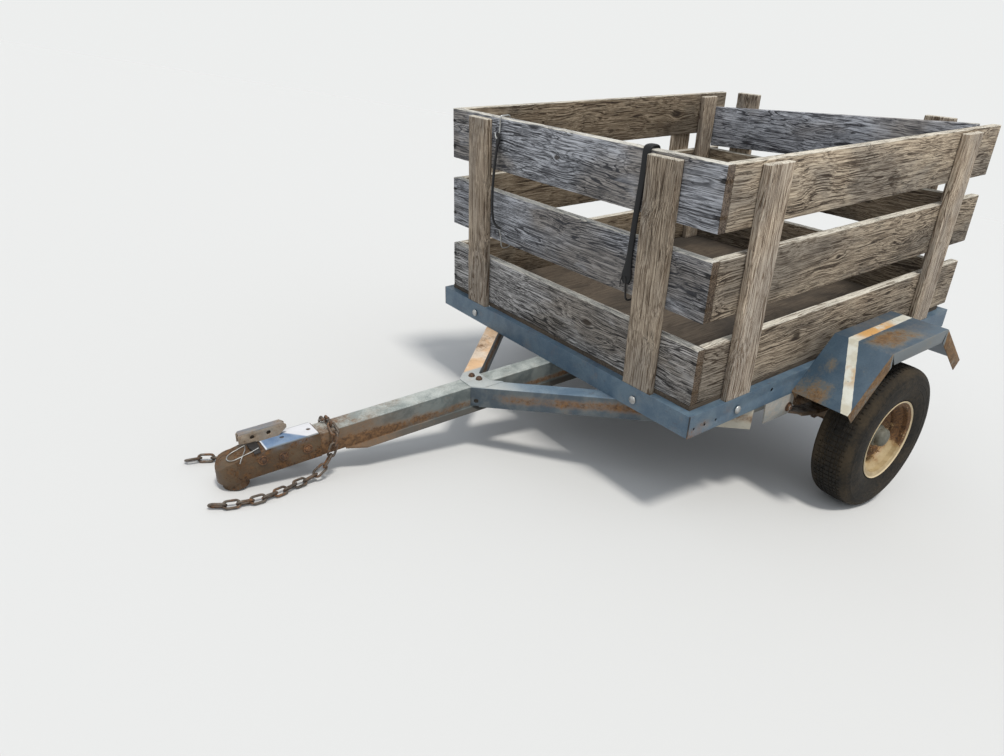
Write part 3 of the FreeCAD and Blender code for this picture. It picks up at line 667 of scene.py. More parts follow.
def rusty_paint(name, paint, faded, amount, size, dusty, softness=0.05, roughness=0.5, rusts=plain_rusts,
                pale=pale_halo, extra=None, tint=None):
    """Old paint that rusts through in patches, with extra rust and a tint of its own, which holds painted
    light and shade on the tongue and the braces.
    """
    material, shader, level = finish(name, roughness)
    x, y, z = parts(level)
    share = amount + extra(x, y, z) if extra else amount
    chalk = noise(level, 16.0, 5.0, 0.65, 0.3)
    speck = noise(level, 240.0, 4.0, 0.7)
    body = mix((speck * 0.3 + chalk * 0.7).spread(0.38, 0.64), paint, faded)
    if tint:
        body = tint(x, y, z, body, chalk)
    scuff = noise(level * (22.0, 60.0, 160.0), 1.0, 4.0, 0.75)
    body = mix(scuff.spread(0.58, 0.76, 0.0, 0.55), body, rusts[0])
    body = dusted(level, body, dusty, 0.45)
    body, mask, height = rust_over(level, body, share, size, softness, rusts, (0.16, 0.14, 0.45, pale))
    cover(shader, body, height + chalk * 0.15, 0.0006, 0.8, mask * 0.35 + roughness)
    return material


def bare_metal(name, metal, dirt, amount, roughness, metallic, size=40.0):
    """Bare or plated metal that has dulled and rusted in fine spots."""
    material, shader, level = finish(name, roughness, metallic, 0.5)
    body = mix(noise(level, 70.0, 4.0, 0.6).spread(0.35, 0.7), metal, dirt)
    body, mask, height = rust_over(level, body, amount, size)
    feed(shader.inputs["Metallic"], (1.0 - mask) * metallic)
    cover(shader, body, height, 0.0004, 0.7, mask * 0.4 + roughness)
    return material


def below_top(z, depth=0.0025):
    """The walls of the tongue and the braces, whose top is level with the rails' foot."""
    return z.spread(rail_bottom - 0.0008, rail_bottom - depth)


def on_top(z):
    return z.spread(rail_bottom - 0.0015, rail_bottom - 0.0002)


def tongue_rust(x, y, z):
    """Rust grows towards the coupler and along a low line on the sides."""
    forward = x.spread(1.02, 1.36, 0.0, 0.34)
    rust_line = 0.312
    low = z.near(rust_line, 0.003, x.spread(0.80, 1.20, 0.012, 0.026), 0.42)
    return forward + low * z.spread(tongue_lip + 0.0005, tongue_lip + 0.0030)


def tongue_shade_and_stain(x, y, z, body, chalk):
    """Walls are darkened to slate as painted shade, and the lips at their feet are darker still as deeper
    painted shade.
    """
    return layered(
        body,
        # Painted shade on the walls, deeper painted shade on the lips, and a brown stain on the sides towards
        # the coupler.
        (below_top(z), mix(chalk.spread(0.40, 0.62), (0.070, 0.084, 0.084), (0.135, 0.152, 0.145))),
        (z.spread(tongue_lip + 0.0025, tongue_lip, 0.0, 0.85), (0.052, 0.047, 0.040)),
        (x.spread(1.02, 1.34, 0.0, 0.80) * below_top(z, 0.0040), (0.120, 0.078, 0.046)))


def brace_rust(x, y, z):
    """A soft band of rust along the walls and specks on the right-hand brace's top."""
    band = z.near(0.331, 0.004, 0.023, 0.46) * x.spread(0.905, 0.840)
    return band + on_top(z) * y.spread(-0.03, -0.05, 0.0, 0.16)


def brace_light_and_shade(x, y, z, body, chalk):
    """Dark walls as painted shade, pale rear ends, a pale top over the tongue as a painted sunlit patch, and
    a peach top on the right: painted sunlight with a rust tint.
    """
    peach_in_sun = mix(chalk.spread(0.38, 0.66), (0.80, 0.67, 0.53), (0.74, 0.47, 0.25))
    return layered(
        body,
        # Painted shade on the walls, and painted sunlight on the top over the tongue and on the right-hand
        # brace's top.
        (below_top(z), mix(chalk.spread(0.40, 0.62), (0.048, 0.066, 0.082), (0.094, 0.108, 0.112))),
        (x.spread(0.575, 0.545, 0.0, 0.9), mix(chalk, (0.33, 0.31, 0.26), (0.44, 0.40, 0.31))),
        (on_top(z) * x.spread(0.800, 0.885, 0.0, 0.8), mix(chalk, (0.36, 0.38, 0.36), (0.54, 0.55, 0.52))),
        (on_top(z) * y.spread(-0.045, -0.065, 0.0, 0.92), peach_in_sun))


def coupler_tint(x, y, z, body, chalk):
    """Old blue paint that clings along the upper edge of the walls."""
    edge = z.spread(coupler_top - 0.0155, coupler_top - 0.0035)
    clinging = edge * x.spread(1.350, 1.375) * x.spread(1.500, 1.470) * chalk.spread(0.36, 0.60, 0.0, 0.85)
    return mix(clinging, body, (0.090, 0.115, 0.140))


def lever_tint(x, y, z, body, chalk):
    """Grey-blue paint left on the lever's back."""
    back = z.spread(lever_back - 0.0030, lever_back)
    return mix(back * chalk.spread(0.34, 0.58, 0.0, 0.85), body, (0.115, 0.140, 0.175))


def rail_tint(x, y, z, body, chalk):
    """The dark joint where the front rail's end butts against the side rail."""
    ahead = x.spread(front_x - 0.0024, front_x - 0.0016)
    joint = ahead * abs(y).spread(half_bed - 0.0034, half_bed - 0.0024, 0.0, 0.9)
    return mix(joint, body, (0.010, 0.011, 0.012))


def side_rail_rust(x, y, z):
    """Specks on the side rails near the front corners, below the bolts."""
    side = abs(y).spread(half_bed - 0.0020, half_bed - 0.0010)
    return side * x.spread(0.50, 0.64, 0.0, 0.30) * z.spread(0.404, 0.376)


def fender_rust(x, out, z):
    """A patch on the top outboard of the stripe, stained front corners and rusty end lips."""
    above = z.spread(fender_top - 0.005, fender_top)
    patch = above * x.near(0.01, 0.05, 0.14) * out.near(0.620, 0.018, 0.052, 0.42)
    corner = x.spread(0.196, fender_front) * out.near(0.545, 0.035, 0.085, 0.50)
    speck = x.near(0.182, 0.004, 0.030) * out.near(0.556, 0.004, 0.028, 0.30)
    ends = x.spread(0.108, 0.118, 0.0, 0.44) + x.spread(-0.168, -0.180, 0.0, 0.52) + 0.06
    return patch + corner + speck + out.spread(fender_lip_y, fender_lip_y + 0.0008) * ends


frame_paint = rusty_paint(
    "slate_frame_paint", (0.056, 0.095, 0.138), (0.100, 0.145, 0.182), 0.08, 18.0, 0.12,
    pale=warm_halo, extra=side_rail_rust, tint=rail_tint)
tongue_paint = rusty_paint(
    "tongue_paint", (0.20, 0.225, 0.215), (0.43, 0.455, 0.43), 0.10, 14.0, 0.18, 0.10,
    rusts=warm_rusts, pale=warm_halo, extra=tongue_rust, tint=tongue_shade_and_stain)
# The braces' paint is deepened to blue: slate paint with painted sky-lit shade.
brace_paint = rusty_paint(
    "brace_paint", (0.090, 0.138, 0.190), (0.17, 0.225, 0.27), 0.10, 13.0, 0.12, 0.09,
    rusts=warm_rusts, pale=warm_halo, extra=brace_rust, tint=brace_light_and_shade)
hanger_paint = rusty_paint(
    "hanger_paint", (0.19, 0.205, 0.20), (0.27, 0.275, 0.26), 0.24, 16.0, 0.4, rusts=brown_rusts)
dark_steel = rusty_paint(
    "dark_spring_steel", (0.035, 0.030, 0.028), (0.075, 0.058, 0.045), 0.46, 16.0, 0.5,
    roughness=0.6, rusts=brown_rusts)
# Rust on the coupler, with its paint and rust tones darkened further as painted shade.
coupler_rusty = rusty_paint(
    "coupler_rust", (0.042, 0.030, 0.018), (0.085, 0.062, 0.036), 0.45, 22.0, 0.08, 0.06,
    rusts=coupler_rusts_in_shade, pale=(0.130, 0.064, 0.023), tint=coupler_tint)
lever_rusty = rusty_paint(
    "lever_rust", (0.22, 0.19, 0.15), (0.34, 0.29, 0.23), 0.32, 34.0, 0.18, 0.06,
    rusts=brown_rusts, pale=(0.24, 0.14, 0.07), tint=lever_tint)
zinc = bare_metal("dull_zinc", (0.42, 0.43, 0.43), (0.25, 0.24, 0.22), 0.16, 0.42, 0.75)
chain_metal = bare_metal("chain_metal", (0.135, 0.115, 0.095), (0.060, 0.046, 0.036), 0.44, 0.52, 0.6)
rusty_bolt = bare_metal("rusty_bolt", (0.085, 0.050, 0.032), (0.045, 0.027, 0.018), 0.50, 0.7, 0.3)
black_iron = bare_metal("blackened_nail", (0.03, 0.028, 0.028), (0.02, 0.018, 0.017), 0.2, 0.7, 0.4)
cap_metal = bare_metal("grease_cap_metal", (0.128, 0.126, 0.100), (0.080, 0.074, 0.052), 0.18, 0.6, 0.2, 30.0)


def make_plate_paint():
    """Pale blue paint on the plate under the rusty lever; its front is deepened to blue as painted shade and
    its rear is painted white as a sunlit patch.
    """
    material, shader, level = finish("coupler_plate_paint", 0.45, 0.0, 0.45)
    x, y, z = parts(level)
    chalk = noise(level, 30.0, 5.0, 0.6)
    body = layered(
        (0.110, 0.175, 0.290),
        (chalk.spread(0.35, 0.65), (0.175, 0.245, 0.350)),
        # A painted patch of sunlight: the plate's rear turns near-white.
        ((y * 0.9 + x).spread(1.404, 1.396), (0.60, 0.60, 0.62)),
        (abs(y).spread(0.0262, 0.0276, 0.0, 0.75), (0.16, 0.17, 0.165)),
        (x.spread(1.4655, 1.4685, 0.0, 0.85), (0.66, 0.69, 0.72)))
    body, mask, height = rust_over(level, body, 0.17, 60.0, 0.05, soft_rusts)
    cover(shader, body, height, 0.0004, 0.6)
    return material


def stripe_mask(level, x, out):
    """The fender's stripe: it crosses at a slant, ragged at its edges and worn through in spots."""
    line = x.ramp(fender_rear, fender_fold, 0.5605, 0.565) + x.ramp(fender_fold, fender_front, 0.0, 0.099)
    ragged = (noise(level, 90.0, 3.0) - 0.5) * 0.0022
    worn = noise(level, 70.0, 5.0, 0.7).spread(0.30, 0.36)
    off_the_lip = out.spread(fender_lip_y, fender_lip_y + 0.0004, 1.0, 0.0)
    return abs(out + ragged - line).spread(0.0128, 0.0142, 1.0, 0.0) * off_the_lip * worn


def stripe_paint(level, x):
    """Its yellowed white, with an orange stretch on the top and a brown stain low in front."""
    patches = noise(level, 22.0, 4.0, 0.6)
    blots = noise(level, 30.0, 3.0)
    return layered(
        (0.62, 0.62, 0.55),
        (patches.spread(0.42, 0.66), (0.50, 0.47, 0.37)),
        (x.near(0.0, 0.045, 0.110) * patches.spread(0.30, 0.50, 0.0, 0.92), (0.60, 0.31, 0.080)),
        (x.near(0.185, 0.008, 0.032) * blots.spread(0.42, 0.56, 0.0, 0.7), (0.46, 0.30, 0.15)))


def make_fender_paint():
    """Dark slate paint with the pale stripe, a greyer lip and rust at the corners and the top."""
    material, shader, level = finish("fender_paint", 0.5)
    x, y, z = parts(level)
    out = abs(y)
    chalk = noise(level, 14.0, 5.0, 0.65, 0.4)
    speck = noise(level, 260.0, 3.0, 0.7)
    lip = out.spread(fender_lip_y, fender_lip_y + 0.0008) * x.spread(0.118, 0.108)
    stripe = stripe_mask(level, x, out)
    body = layered(
        (0.034, 0.061, 0.090),
        ((speck * 0.3 + chalk * 0.7).spread(0.38, 0.66), (0.057, 0.090, 0.122)),
        (lip * 0.65, (0.155, 0.165, 0.160)),
        (stripe, stripe_paint(level, x)))
    body = dusted(level, body, z.spread(fender_top - 0.005, fender_top, 0.08, 0.36), 0.42)
    halo = (0.14, 0.12, 0.45 - stripe * 0.35, (0.235, 0.175, 0.085))
    body, mask, height = rust_over(level, body, fender_rust(x, out, z) + 0.10, 16.0, 0.09, fender_rusts, halo,
                                   1.0 - stripe * 0.75)
    cover(shader, body, height + stripe * 0.5, 0.0006, 0.8, mask * 0.35 + 0.48)
    return material


def make_rim_paint():
    """Cream paint, heavily rusted in the dish and the well and clean on the flange."""
    material, shader, level = finish("cream_rim_paint", 0.45, 0.0, 0.45)
    x, y, z = parts(level)
    up = z - tyre_radius
    radius = length(placed(x, up, 0.0))
    upper = (up - x * 0.7).spread(-0.020, 0.050, 0.0, 0.50)
    around = radius.spread(0.104, 0.070, 0.0, 0.40)
    share = radius.spread(0.1120, 0.1085) * compute("MAXIMUM", upper, around) + 0.14
    gold = noise(level, 18.0, 4.0).spread(0.36, 0.56, 0.25, 0.85)
    body = layered(
        (0.40, 0.305, 0.165),
        (noise(level, 26.0, 4.0, 0.6).spread(0.35, 0.7), (0.26, 0.182, 0.085)),
        (radius.spread(0.1095, 0.1125), (0.53, 0.43, 0.275)),
        (radius.spread(0.088, 0.078) * gold, (0.25, 0.140, 0.050)))
    halo = (0.13, 0.10, 0.60, (0.30, 0.165, 0.058))
    body, mask, height = rust_over(level, body, share, 26.0, 0.045, rim_rusts, halo)
    cover(shader, body, height, 0.0006, 0.9, mask * 0.4 + 0.45)
    return material


def make_tyre_rubber():
    """Worn brown-black rubber with soil in the grooves and on the shoulders."""
    material, shader, level = finish("worn_tyre_rubber", 0.85, 0.0, 0.3)
    x, y, z = parts(level)
    radius = length(placed(x, z - tyre_radius, 0.0))
    soiled = radius.near(0.199, 0.002, 0.014, 0.18) + radius.spread(0.2062, 0.2050, 0.0, 0.14) + 0.24
    settled = use(dust, place=level, amount=soiled)["Mask"]
    rub = noise(level, 90.0, 6.0, 0.75)
    body = layered(
        (0.0050, 0.0046, 0.0038),
        (rub.spread(0.35, 0.68), (0.0170, 0.0140, 0.0100)),
        (settled * 0.48, (0.072, 0.050, 0.026)))
    cover(shader, body, rub + settled, 0.0007, 0.7)
    return material


def make_strap_rubber():
    """Black rubber with a little dust on it."""
    material, shader, level = finish("black_strap_rubber", 0.62, 0.0, 0.30)
    body = dusted(level, (0.0085, 0.0088, 0.0098), 0.22, 0.22, (0.06, 0.055, 0.048))
    cover(shader, body, noise(level, 300.0, 2.0), 0.0002, 0.4)
    return material


def make_plywood():
    """Dark, damp-stained sheet floor."""
    material, shader, level = finish("stained_plywood", 0.85, 0.0, 0.25)
    knot, knot_size = no_knot
    made = use(grain, place=level, seed=30.1, knot=knot, knot_size=knot_size, wear=0.2)
    damp = noise(level, 3.5, 5.0, 0.6, 0.5)
    body = layered(
        (0.050, 0.038, 0.028),
        (made["Tone"].spread(0.40, 0.72), (0.13, 0.103, 0.076)),
        (damp.spread(0.38, 0.62, 0.0, 0.8), (0.030, 0.026, 0.022)))
    cover(shader, body, made["Height"], 0.0006, 0.7)
    return material


plate_paint = make_plate_paint()
fender_paint = make_fender_paint()
rim_paint = make_rim_paint()
tyre_rubber = make_tyre_rubber()
strap_rubber = make_strap_rubber()
plywood = make_plywood()


# Steel pieces whose shape the CAD holds: a copy with rounded edges takes each one's place

rounded_steel = [
    (frame_paint, ("rail_front", "rail_rear", "rail_left", "rail_right", "cross_member")),
    (tongue_paint, ("tongue",)),
    (brace_paint, ("brace_left", "brace_right")),
    (coupler_rusty, ("coupler_body",)),
    (lever_rusty, ("coupler_lever",)),
    (fender_paint, ("fender_left", "fender_right")),
    (hanger_paint, ("spring_hanger_front_left", "spring_hanger_front_right")),
    (hanger_paint, ("spring_hanger_rear_left", "spring_hanger_rear_right")),
    (dark_steel, ("leaf_spring_left", "leaf_spring_right")),
]

# Nodes that keep the CAD's own mesh and only take a material
painted_as_they_are = [
    (dark_steel, ("axle", "axle_clamp_left", "axle_clamp_right")),
    (plywood, ("deck",)),
]


def paint_plate(piece):
    """Keeps the plate's own paint under the bare lever that is pressed out of it."""
    piece.data.materials.append(plate_paint)
    for face in piece.data.polygons:
        if (to_level @ face.center).z < coupler_top + 0.0032:
            face.material_index = 1


def dress_steel():
    for material, nodes in rounded_steel:
        for node in nodes:
            piece = cad_copy(node)
            edit_all(piece)
            bpy.ops.mesh.vert_connect_concave()
            done_editing()
            round_edges(piece, 0.0006, 2, 25.0)
            stand_in(piece, node, material, 30.0)
            if node == "coupler_lever":
                paint_plate(piece)
    for material, nodes in painted_as_they_are:
        for node in nodes:
            slots = frame["nodes"][node].data.materials
            slots.clear()
            slots.append(material)


# Wheels. Their outlines are (radius, outward) pairs.

def make_tyre():
    """Tread ribs cut by fine slots, ringed side walls and open beads."""
    tread = [(0.2070, 0.0035), (0.2070, 0.0070), (0.2048, 0.0076), (0.2048, 0.0094), (0.2070, 0.0100),
             (0.2069, 0.0165), (0.2047, 0.0171), (0.2047, 0.0189), (0.2067, 0.0195), (0.2064, 0.0265),
             (0.2042, 0.0271), (0.2042, 0.0290), (0.2060, 0.0296), (0.2050, 0.0370), (0.2030, 0.0430)]
    wall = [(0.2000, 0.0480), (0.1960, 0.0515), (0.1952, 0.0512), (0.1900, 0.0545), (0.1840, 0.0572),
            (0.1834, 0.0570), (0.1770, 0.0586), (0.1690, 0.0592), (0.1684, 0.0586), (0.1600, 0.0590),
            (0.1540, 0.0590), (0.1534, 0.0584), (0.1470, 0.0580), (0.1390, 0.0566), (0.1300, 0.0540),
            (0.1230, 0.0515), (0.1175, 0.0492)]
    inside = [(0.1160, 0.0470), (0.1045, 0.0445), (0.1045, 0.0400), (0.1250, 0.0430), (0.1500, 0.0500),
              (0.1750, 0.0490), (0.1900, 0.0380), (0.1960, 0.0200)]
    half = tread + wall + inside
    sectors, slot_share, slot_depth, slots_start = 84, 0.22, 0.0019, 0.2052
    sector = math.tau / sectors
    ring = outline_ring([(radius, -out) for radius, out in half[::-1]] + half, wheel_centre)
    edit_all(ring)
    for share in (1.0 - slot_share, slot_share):
        bpy.ops.mesh.spin(steps=1, angle=sector * share, center=wheel_centre, axis=(0.0, 1.0, 0.0))
    done_editing()
    close_up(ring)
    ends = [math.atan2(vertex.co.x, vertex.co.z - wheel_centre.z) for vertex in ring.data.vertices]
    way = 1.0 if max(ends) > 1e-4 else -1.0
    slot_middle = way * sector * (1.0 - slot_share / 2.0)

    def is_slot(middle, normal):
        reach = Vector((middle.x, 0.0, middle.z - wheel_centre.z))
        if reach.length < slots_start or normal.dot(reach.normalized()) < 0.7:
            return False
        return abs(math.atan2(reach.x, reach.z) - slot_middle) < sector * slot_share * 0.4

    pick(ring, is_slot)
    bpy.ops.mesh.extrude_region_shrink_fatten(TRANSFORM_OT_shrink_fatten={"value": -slot_depth})
    done_editing()
    spin(ring, wheel_centre, sectors - 1, math.tau - sector, dupli=True)
    close_up(ring, 2e-5)
    return ring


def make_rim():
    """Pressed rim with rolled flanges, a stepped well and a dished disc."""
    steel = 0.0025
    front = [(0.1145, 0.0515), (0.1155, 0.0505), (0.1150, 0.0490), (0.1110, 0.0483), (0.1050, 0.0470),
             (0.1020, 0.0450), (0.1015, 0.0330), (0.0980, 0.0300), (0.0850, 0.0180), (0.0840, 0.0140)]
    back = [(radius, -out) for radius, out in front[::-1]]
    inside_back = [(radius - steel, -out) for radius, out in front[:1:-1]]
    disc = [(0.0813, -0.004), (0.0790, -0.0015), (0.0740, 0.0085), (0.0700, 0.0110), (0.0655, 0.0095),
            (0.0600, 0.0020), (0.0540, 0.0002), (0.0345, 0.0002), (0.0345, 0.0027), (0.0540, 0.0028),
            (0.0590, 0.0048), (0.0640, 0.0118), (0.0700, 0.0138), (0.0760, 0.0112), (0.0805, 0.0030)]
    inside_front = [(radius - steel, out) for radius, out in front[:1:-1]]
    return turned(front + back + inside_back + disc + inside_front, wheel_centre, 72)


def make_hub():
    """Hub with its flange behind the disc and a domed grease cap in front."""
    outline = [(0.0, 0.0456), (0.0110, 0.0449), (0.0195, 0.0425), (0.0240, 0.0390), (0.0260, 0.0345),
               (0.0265, 0.0240), (0.0277, 0.0230), (0.0284, 0.0212), (0.0300, 0.0205), (0.0312, 0.0185),
               (0.0318, 0.0004), (0.0600, 0.0001), (0.0615, -0.0015), (0.0615, -0.0050), (0.0600, -0.0060),
               (0.0320, -0.0062), (0.0300, -0.0090), (0.0300, -0.0460), (0.0290, -0.0480), (0.0129, -0.0480),
               (0.0129, 0.0120), (0.0, 0.0120)]
    return turned(outline, wheel_centre, 48)


def dress_wheels():
    for name, make, material in (("tyre", make_tyre, tyre_rubber), ("rim", make_rim, rim_paint),
                                 ("hub", make_hub, cap_metal)):
        left = make()
        right = mirrored(left)
        stand_in(left, name + "_left", material, 38.0, "wheel_left")
        stand_in(right, name + "_right", material, 38.0, "wheel_right")


# Chains

def loose_parts(node):
    """Centre, long axis and face direction of each separate solid in a CAD node."""
    copy = cad_copy(node)
    only(copy)
    bpy.ops.mesh.separate(type="LOOSE")
    places = []
    for part in list(bpy.context.selected_objects):
        points = numpy.array([vertex.co[:] for vertex in part.data.vertices])
        centre = points.mean(axis=0)
        values, axes = numpy.linalg.eigh(numpy.cov((points - centre).T))
        places.append((Vector(centre), Vector(axes[:, 2]), Vector(axes[:, 0])))
        bpy.data.objects.remove(part)
    return places


def link_line(radius, straight):
    """Points round a link: a half circle at each end."""
    points = []
    for end in (1, -1):
        for i in range(9):
            angle = math.radians(22.5 * i - 90.0 * end)
            points.append((end * straight + radius * math.cos(angle), radius * math.sin(angle), 0.0))
    return points


def dress_chains():
    """Round-wire links in the places of the plain ones."""
    wire, inner, opening = 0.0030, 0.028, 0.010
    line = link_line(opening / 2.0 + wire, (inner - opening) / 2.0)
    link = run_of(line, wire - 0.0001, closed=True, turns=2)
    for side in ("left", "right"):
        node = "safety_chain_" + side
        links = []
        for centre, along, face in loose_parts(node):
            across = face.cross(along).normalized()
            turn = Matrix((along, across, along.cross(across))).transposed().to_4x4()
            links.append(twin(link, Matrix.Translation(centre) @ turn))
        for piece in links:
            apply_place(piece)
        stand_in(joined(links), node, chain_metal, 60.0)
    bpy.data.objects.remove(link)


# Bolts, nails and nuts, each made standing along +Z

def make_bolt_head(radius, height):
    """A domed head, flat underneath."""
    dome = primitive(bpy.ops.mesh.primitive_uv_sphere_add, radius=radius, segments=20, ring_count=12)
    edit_all(dome)
    bpy.ops.mesh.bisect(plane_co=(0, 0, 0), plane_no=(0, 0, 1), clear_inner=True, use_fill=True)
    bpy.ops.mesh.select_all(action="SELECT")
    bpy.ops.transform.resize(value=(1.0, 1.0, height / radius))
    done_editing()
    return dome


def make_disc(sides, radius, depth, foot=0.0):
    """A prism or a disc that starts at a height."""
    disc = primitive(bpy.ops.mesh.primitive_cylinder_add, vertices=sides, radius=radius, depth=depth,
                     place=(0, 0, foot + depth / 2.0))
    apply_place(disc)
    return disc


def make_nut(radius, height, stud=0.0):
    """Six-sided nut with chamfered corners on a washer, and the stud's end where it comes through."""
    washer_height = 0.0016
    nut = make_disc(6, radius, height, washer_height)
    round_edges(nut, radius * 0.08, 1, 50.0)
    pieces = [nut, make_disc(24, radius * 1.35, washer_height)]
    if stud:
        end = make_disc(16, radius * 0.52, stud, height + washer_height)
        round_edges(end, radius * 0.1, 1, 50.0)
        pieces.append(end)
    return joined(pieces)


def make_ringed_bolt(radius):
    """Pressed washer with a raised rim and a low domed head inside it."""
    outline = [(0.0, 0.0042), (radius * 0.30, 0.0040), (radius * 0.52, 0.0031), (radius * 0.58, 0.0016),
               (radius * 0.70, 0.0014), (radius * 0.82, 0.0028), (radius * 0.95, 0.0026), (radius, 0.0010),
               (radius, 0.0), (0.0, 0.0)]
    ring = turned(outline, (0.0, 0.0, 0.0), 28)
    ring.matrix_world = Matrix.Rotation(math.radians(90.0), 4, "X")
    apply_place(ring)
    return ring


def dress_fasteners():
    outward, ahead, up = (0, 1, 0), (1, 0, 0), (0, 0, 1)
    bolt_z = 0.383
    places = both_sides(((0.4915, half_bed, bolt_z), outward), ((-0.3785, half_bed, bolt_z), outward),
                        ((front_x, 0.340, bolt_z), ahead))
    settle(set_at(make_bolt_head(0.0105, 0.0045), places), "stake_bolts", zinc, 50.0)

    places = []
    for height in board_heights:
        middle = deck_top + height + board_width / 2.0
        places += both_sides(*[((board_front - 0.0006, board_end_y, middle + rise), ahead)
                               for rise in (-nail_rise, nail_rise)])
    settle(set_at(make_bolt_head(0.0034, 0.0008), places), "corner_nails", black_iron, 50.0)

    cap = rail_bottom + brace_steel
    places = [((0.897, -0.021, cap), up), ((0.8915, 0.005, cap), up)]
    settle(set_at(make_bolt_head(0.0088, 0.0088), places), "tongue_bolts", rusty_bolt, 40.0)

    half_hanger, eye_z = 0.0263, 0.3188
    places = both_sides(((spring_eye_x, spring_y + half_hanger, eye_z), outward),
                        ((spring_eye_x, spring_y - half_hanger, eye_z), (0, -1, 0)))
    settle(set_at(make_nut(0.0098, 0.0055, 0.0015), places), "spring_eye_nuts", rusty_bolt, 40.0)

    leg_x, leg_y = 0.02605, 0.02775
    places = both_sides(*[((x, y, clamp_top), up) for y in (spring_y - leg_y, spring_y + leg_y)
                          for x in (-leg_x, leg_x)])
    settle(set_at(make_nut(0.0080, 0.0070), places), "clamp_nuts", rusty_bolt, 40.0)


def dress_coupler():
    """Side bolts, the latch's trigger and the wire clip that keeps it shut."""
    places = both_sides(*[((x, coupler_half, z), (0, 1, 0))
                          for x, z in ((1.479, 0.339), (1.433, 0.333), (1.377, 0.3325))])
    settle(set_at(make_ringed_bolt(0.0112), places), "coupler_bolts", rusty_bolt, 40.0)
    trigger_x, wire = 1.4885, 0.0011
    trigger = primitive(bpy.ops.mesh.primitive_cube_add, size=1.0)
    trigger.scale = (0.021, 0.024, 0.004)
    trigger.location = (trigger_x, 0.0030, coupler_top + 0.0052)
    apply_place(trigger)
    pick(trigger, lambda middle, normal: normal.y > 0.9)
    bpy.ops.mesh.extrude_region_move(TRANSFORM_OT_translate={"value": (0.0, 0.010, -0.0015)})
    bpy.ops.transform.resize(value=(0.7, 1.0, 0.7), center_override=(trigger_x, 0.025, coupler_top + 0.0037))
    bpy.ops.mesh.extrude_region_move(TRANSFORM_OT_translate={"value": (0.0, 0.0060, -0.0040)})
    done_editing()
    round_edges(trigger, 0.0009, 2, 30.0)
    settle(trigger, "coupler_trigger", black_iron, 40.0)
    clip = run_of([(1.4830, 0.0226, 0.3690), (1.4960, 0.0262, 0.3672), (1.5110, 0.0262, 0.3645),
                   (1.5290, 0.0256, 0.3600), (1.5440, 0.0240, 0.3572), (1.5500, 0.0120, 0.3560),
                   (1.5460, -0.0010, 0.3566), (1.5330, -0.0070, 0.3590), (1.5180, -0.0084, 0.3620),
                   (1.5035, -0.0086, 0.3660)], wire, turns=2, kind="NURBS")
    tail = run_of([(1.5035, -0.0086, 0.3660), (1.5060, 0.0060, 0.3664), (1.5150, 0.0200, 0.3650),
                   (1.5240, 0.0300, 0.3600), (1.5290, 0.0318, 0.3500)], wire, turns=2, kind="NURBS")
    settle(joined([clip, tail]), "coupler_clip", zinc, 50.0)


# Straps. A row is a place, half the strap's width there and the direction its flat runs in.

def make_band(rows, thickness):
    """Moulded rubber strap through its rows."""
    last = len(rows) - 1
    band = primitive(bpy.ops.mesh.primitive_grid_add, size=1.0, x_subdivisions=last, y_subdivisions=2)
    for vertex in band.data.vertices:
        x, y, z, half_width, across = rows[round((vertex.co.x + 0.5) * last)]
        step = round(vertex.co.y * 2.0)
        vertex.co = Vector((x, y, z)) + Vector(across).normalized() * (step * half_width)
    modify(band, "SOLIDIFY", thickness=thickness, offset=0.0)
    modify(band, "SUBSURF", levels=2, render_levels=2)
    return band


def foot_hook(eye, y, radius):
    """Wire hook from a strap's foot round the lower edge of the middle board."""
    low = deck_top + board_heights[1]
    line = [eye, (0.6520, y, low + 0.020), (0.6505, y, low + 0.004), (0.6480, y, low - 0.014),
            (0.6330, y, low - 0.0185), (0.6180, y, low - 0.014), (0.6160, y, low + 0.003),
            (0.6160, y, low + 0.013)]
    return run_of(line, radius, kind="NURBS")


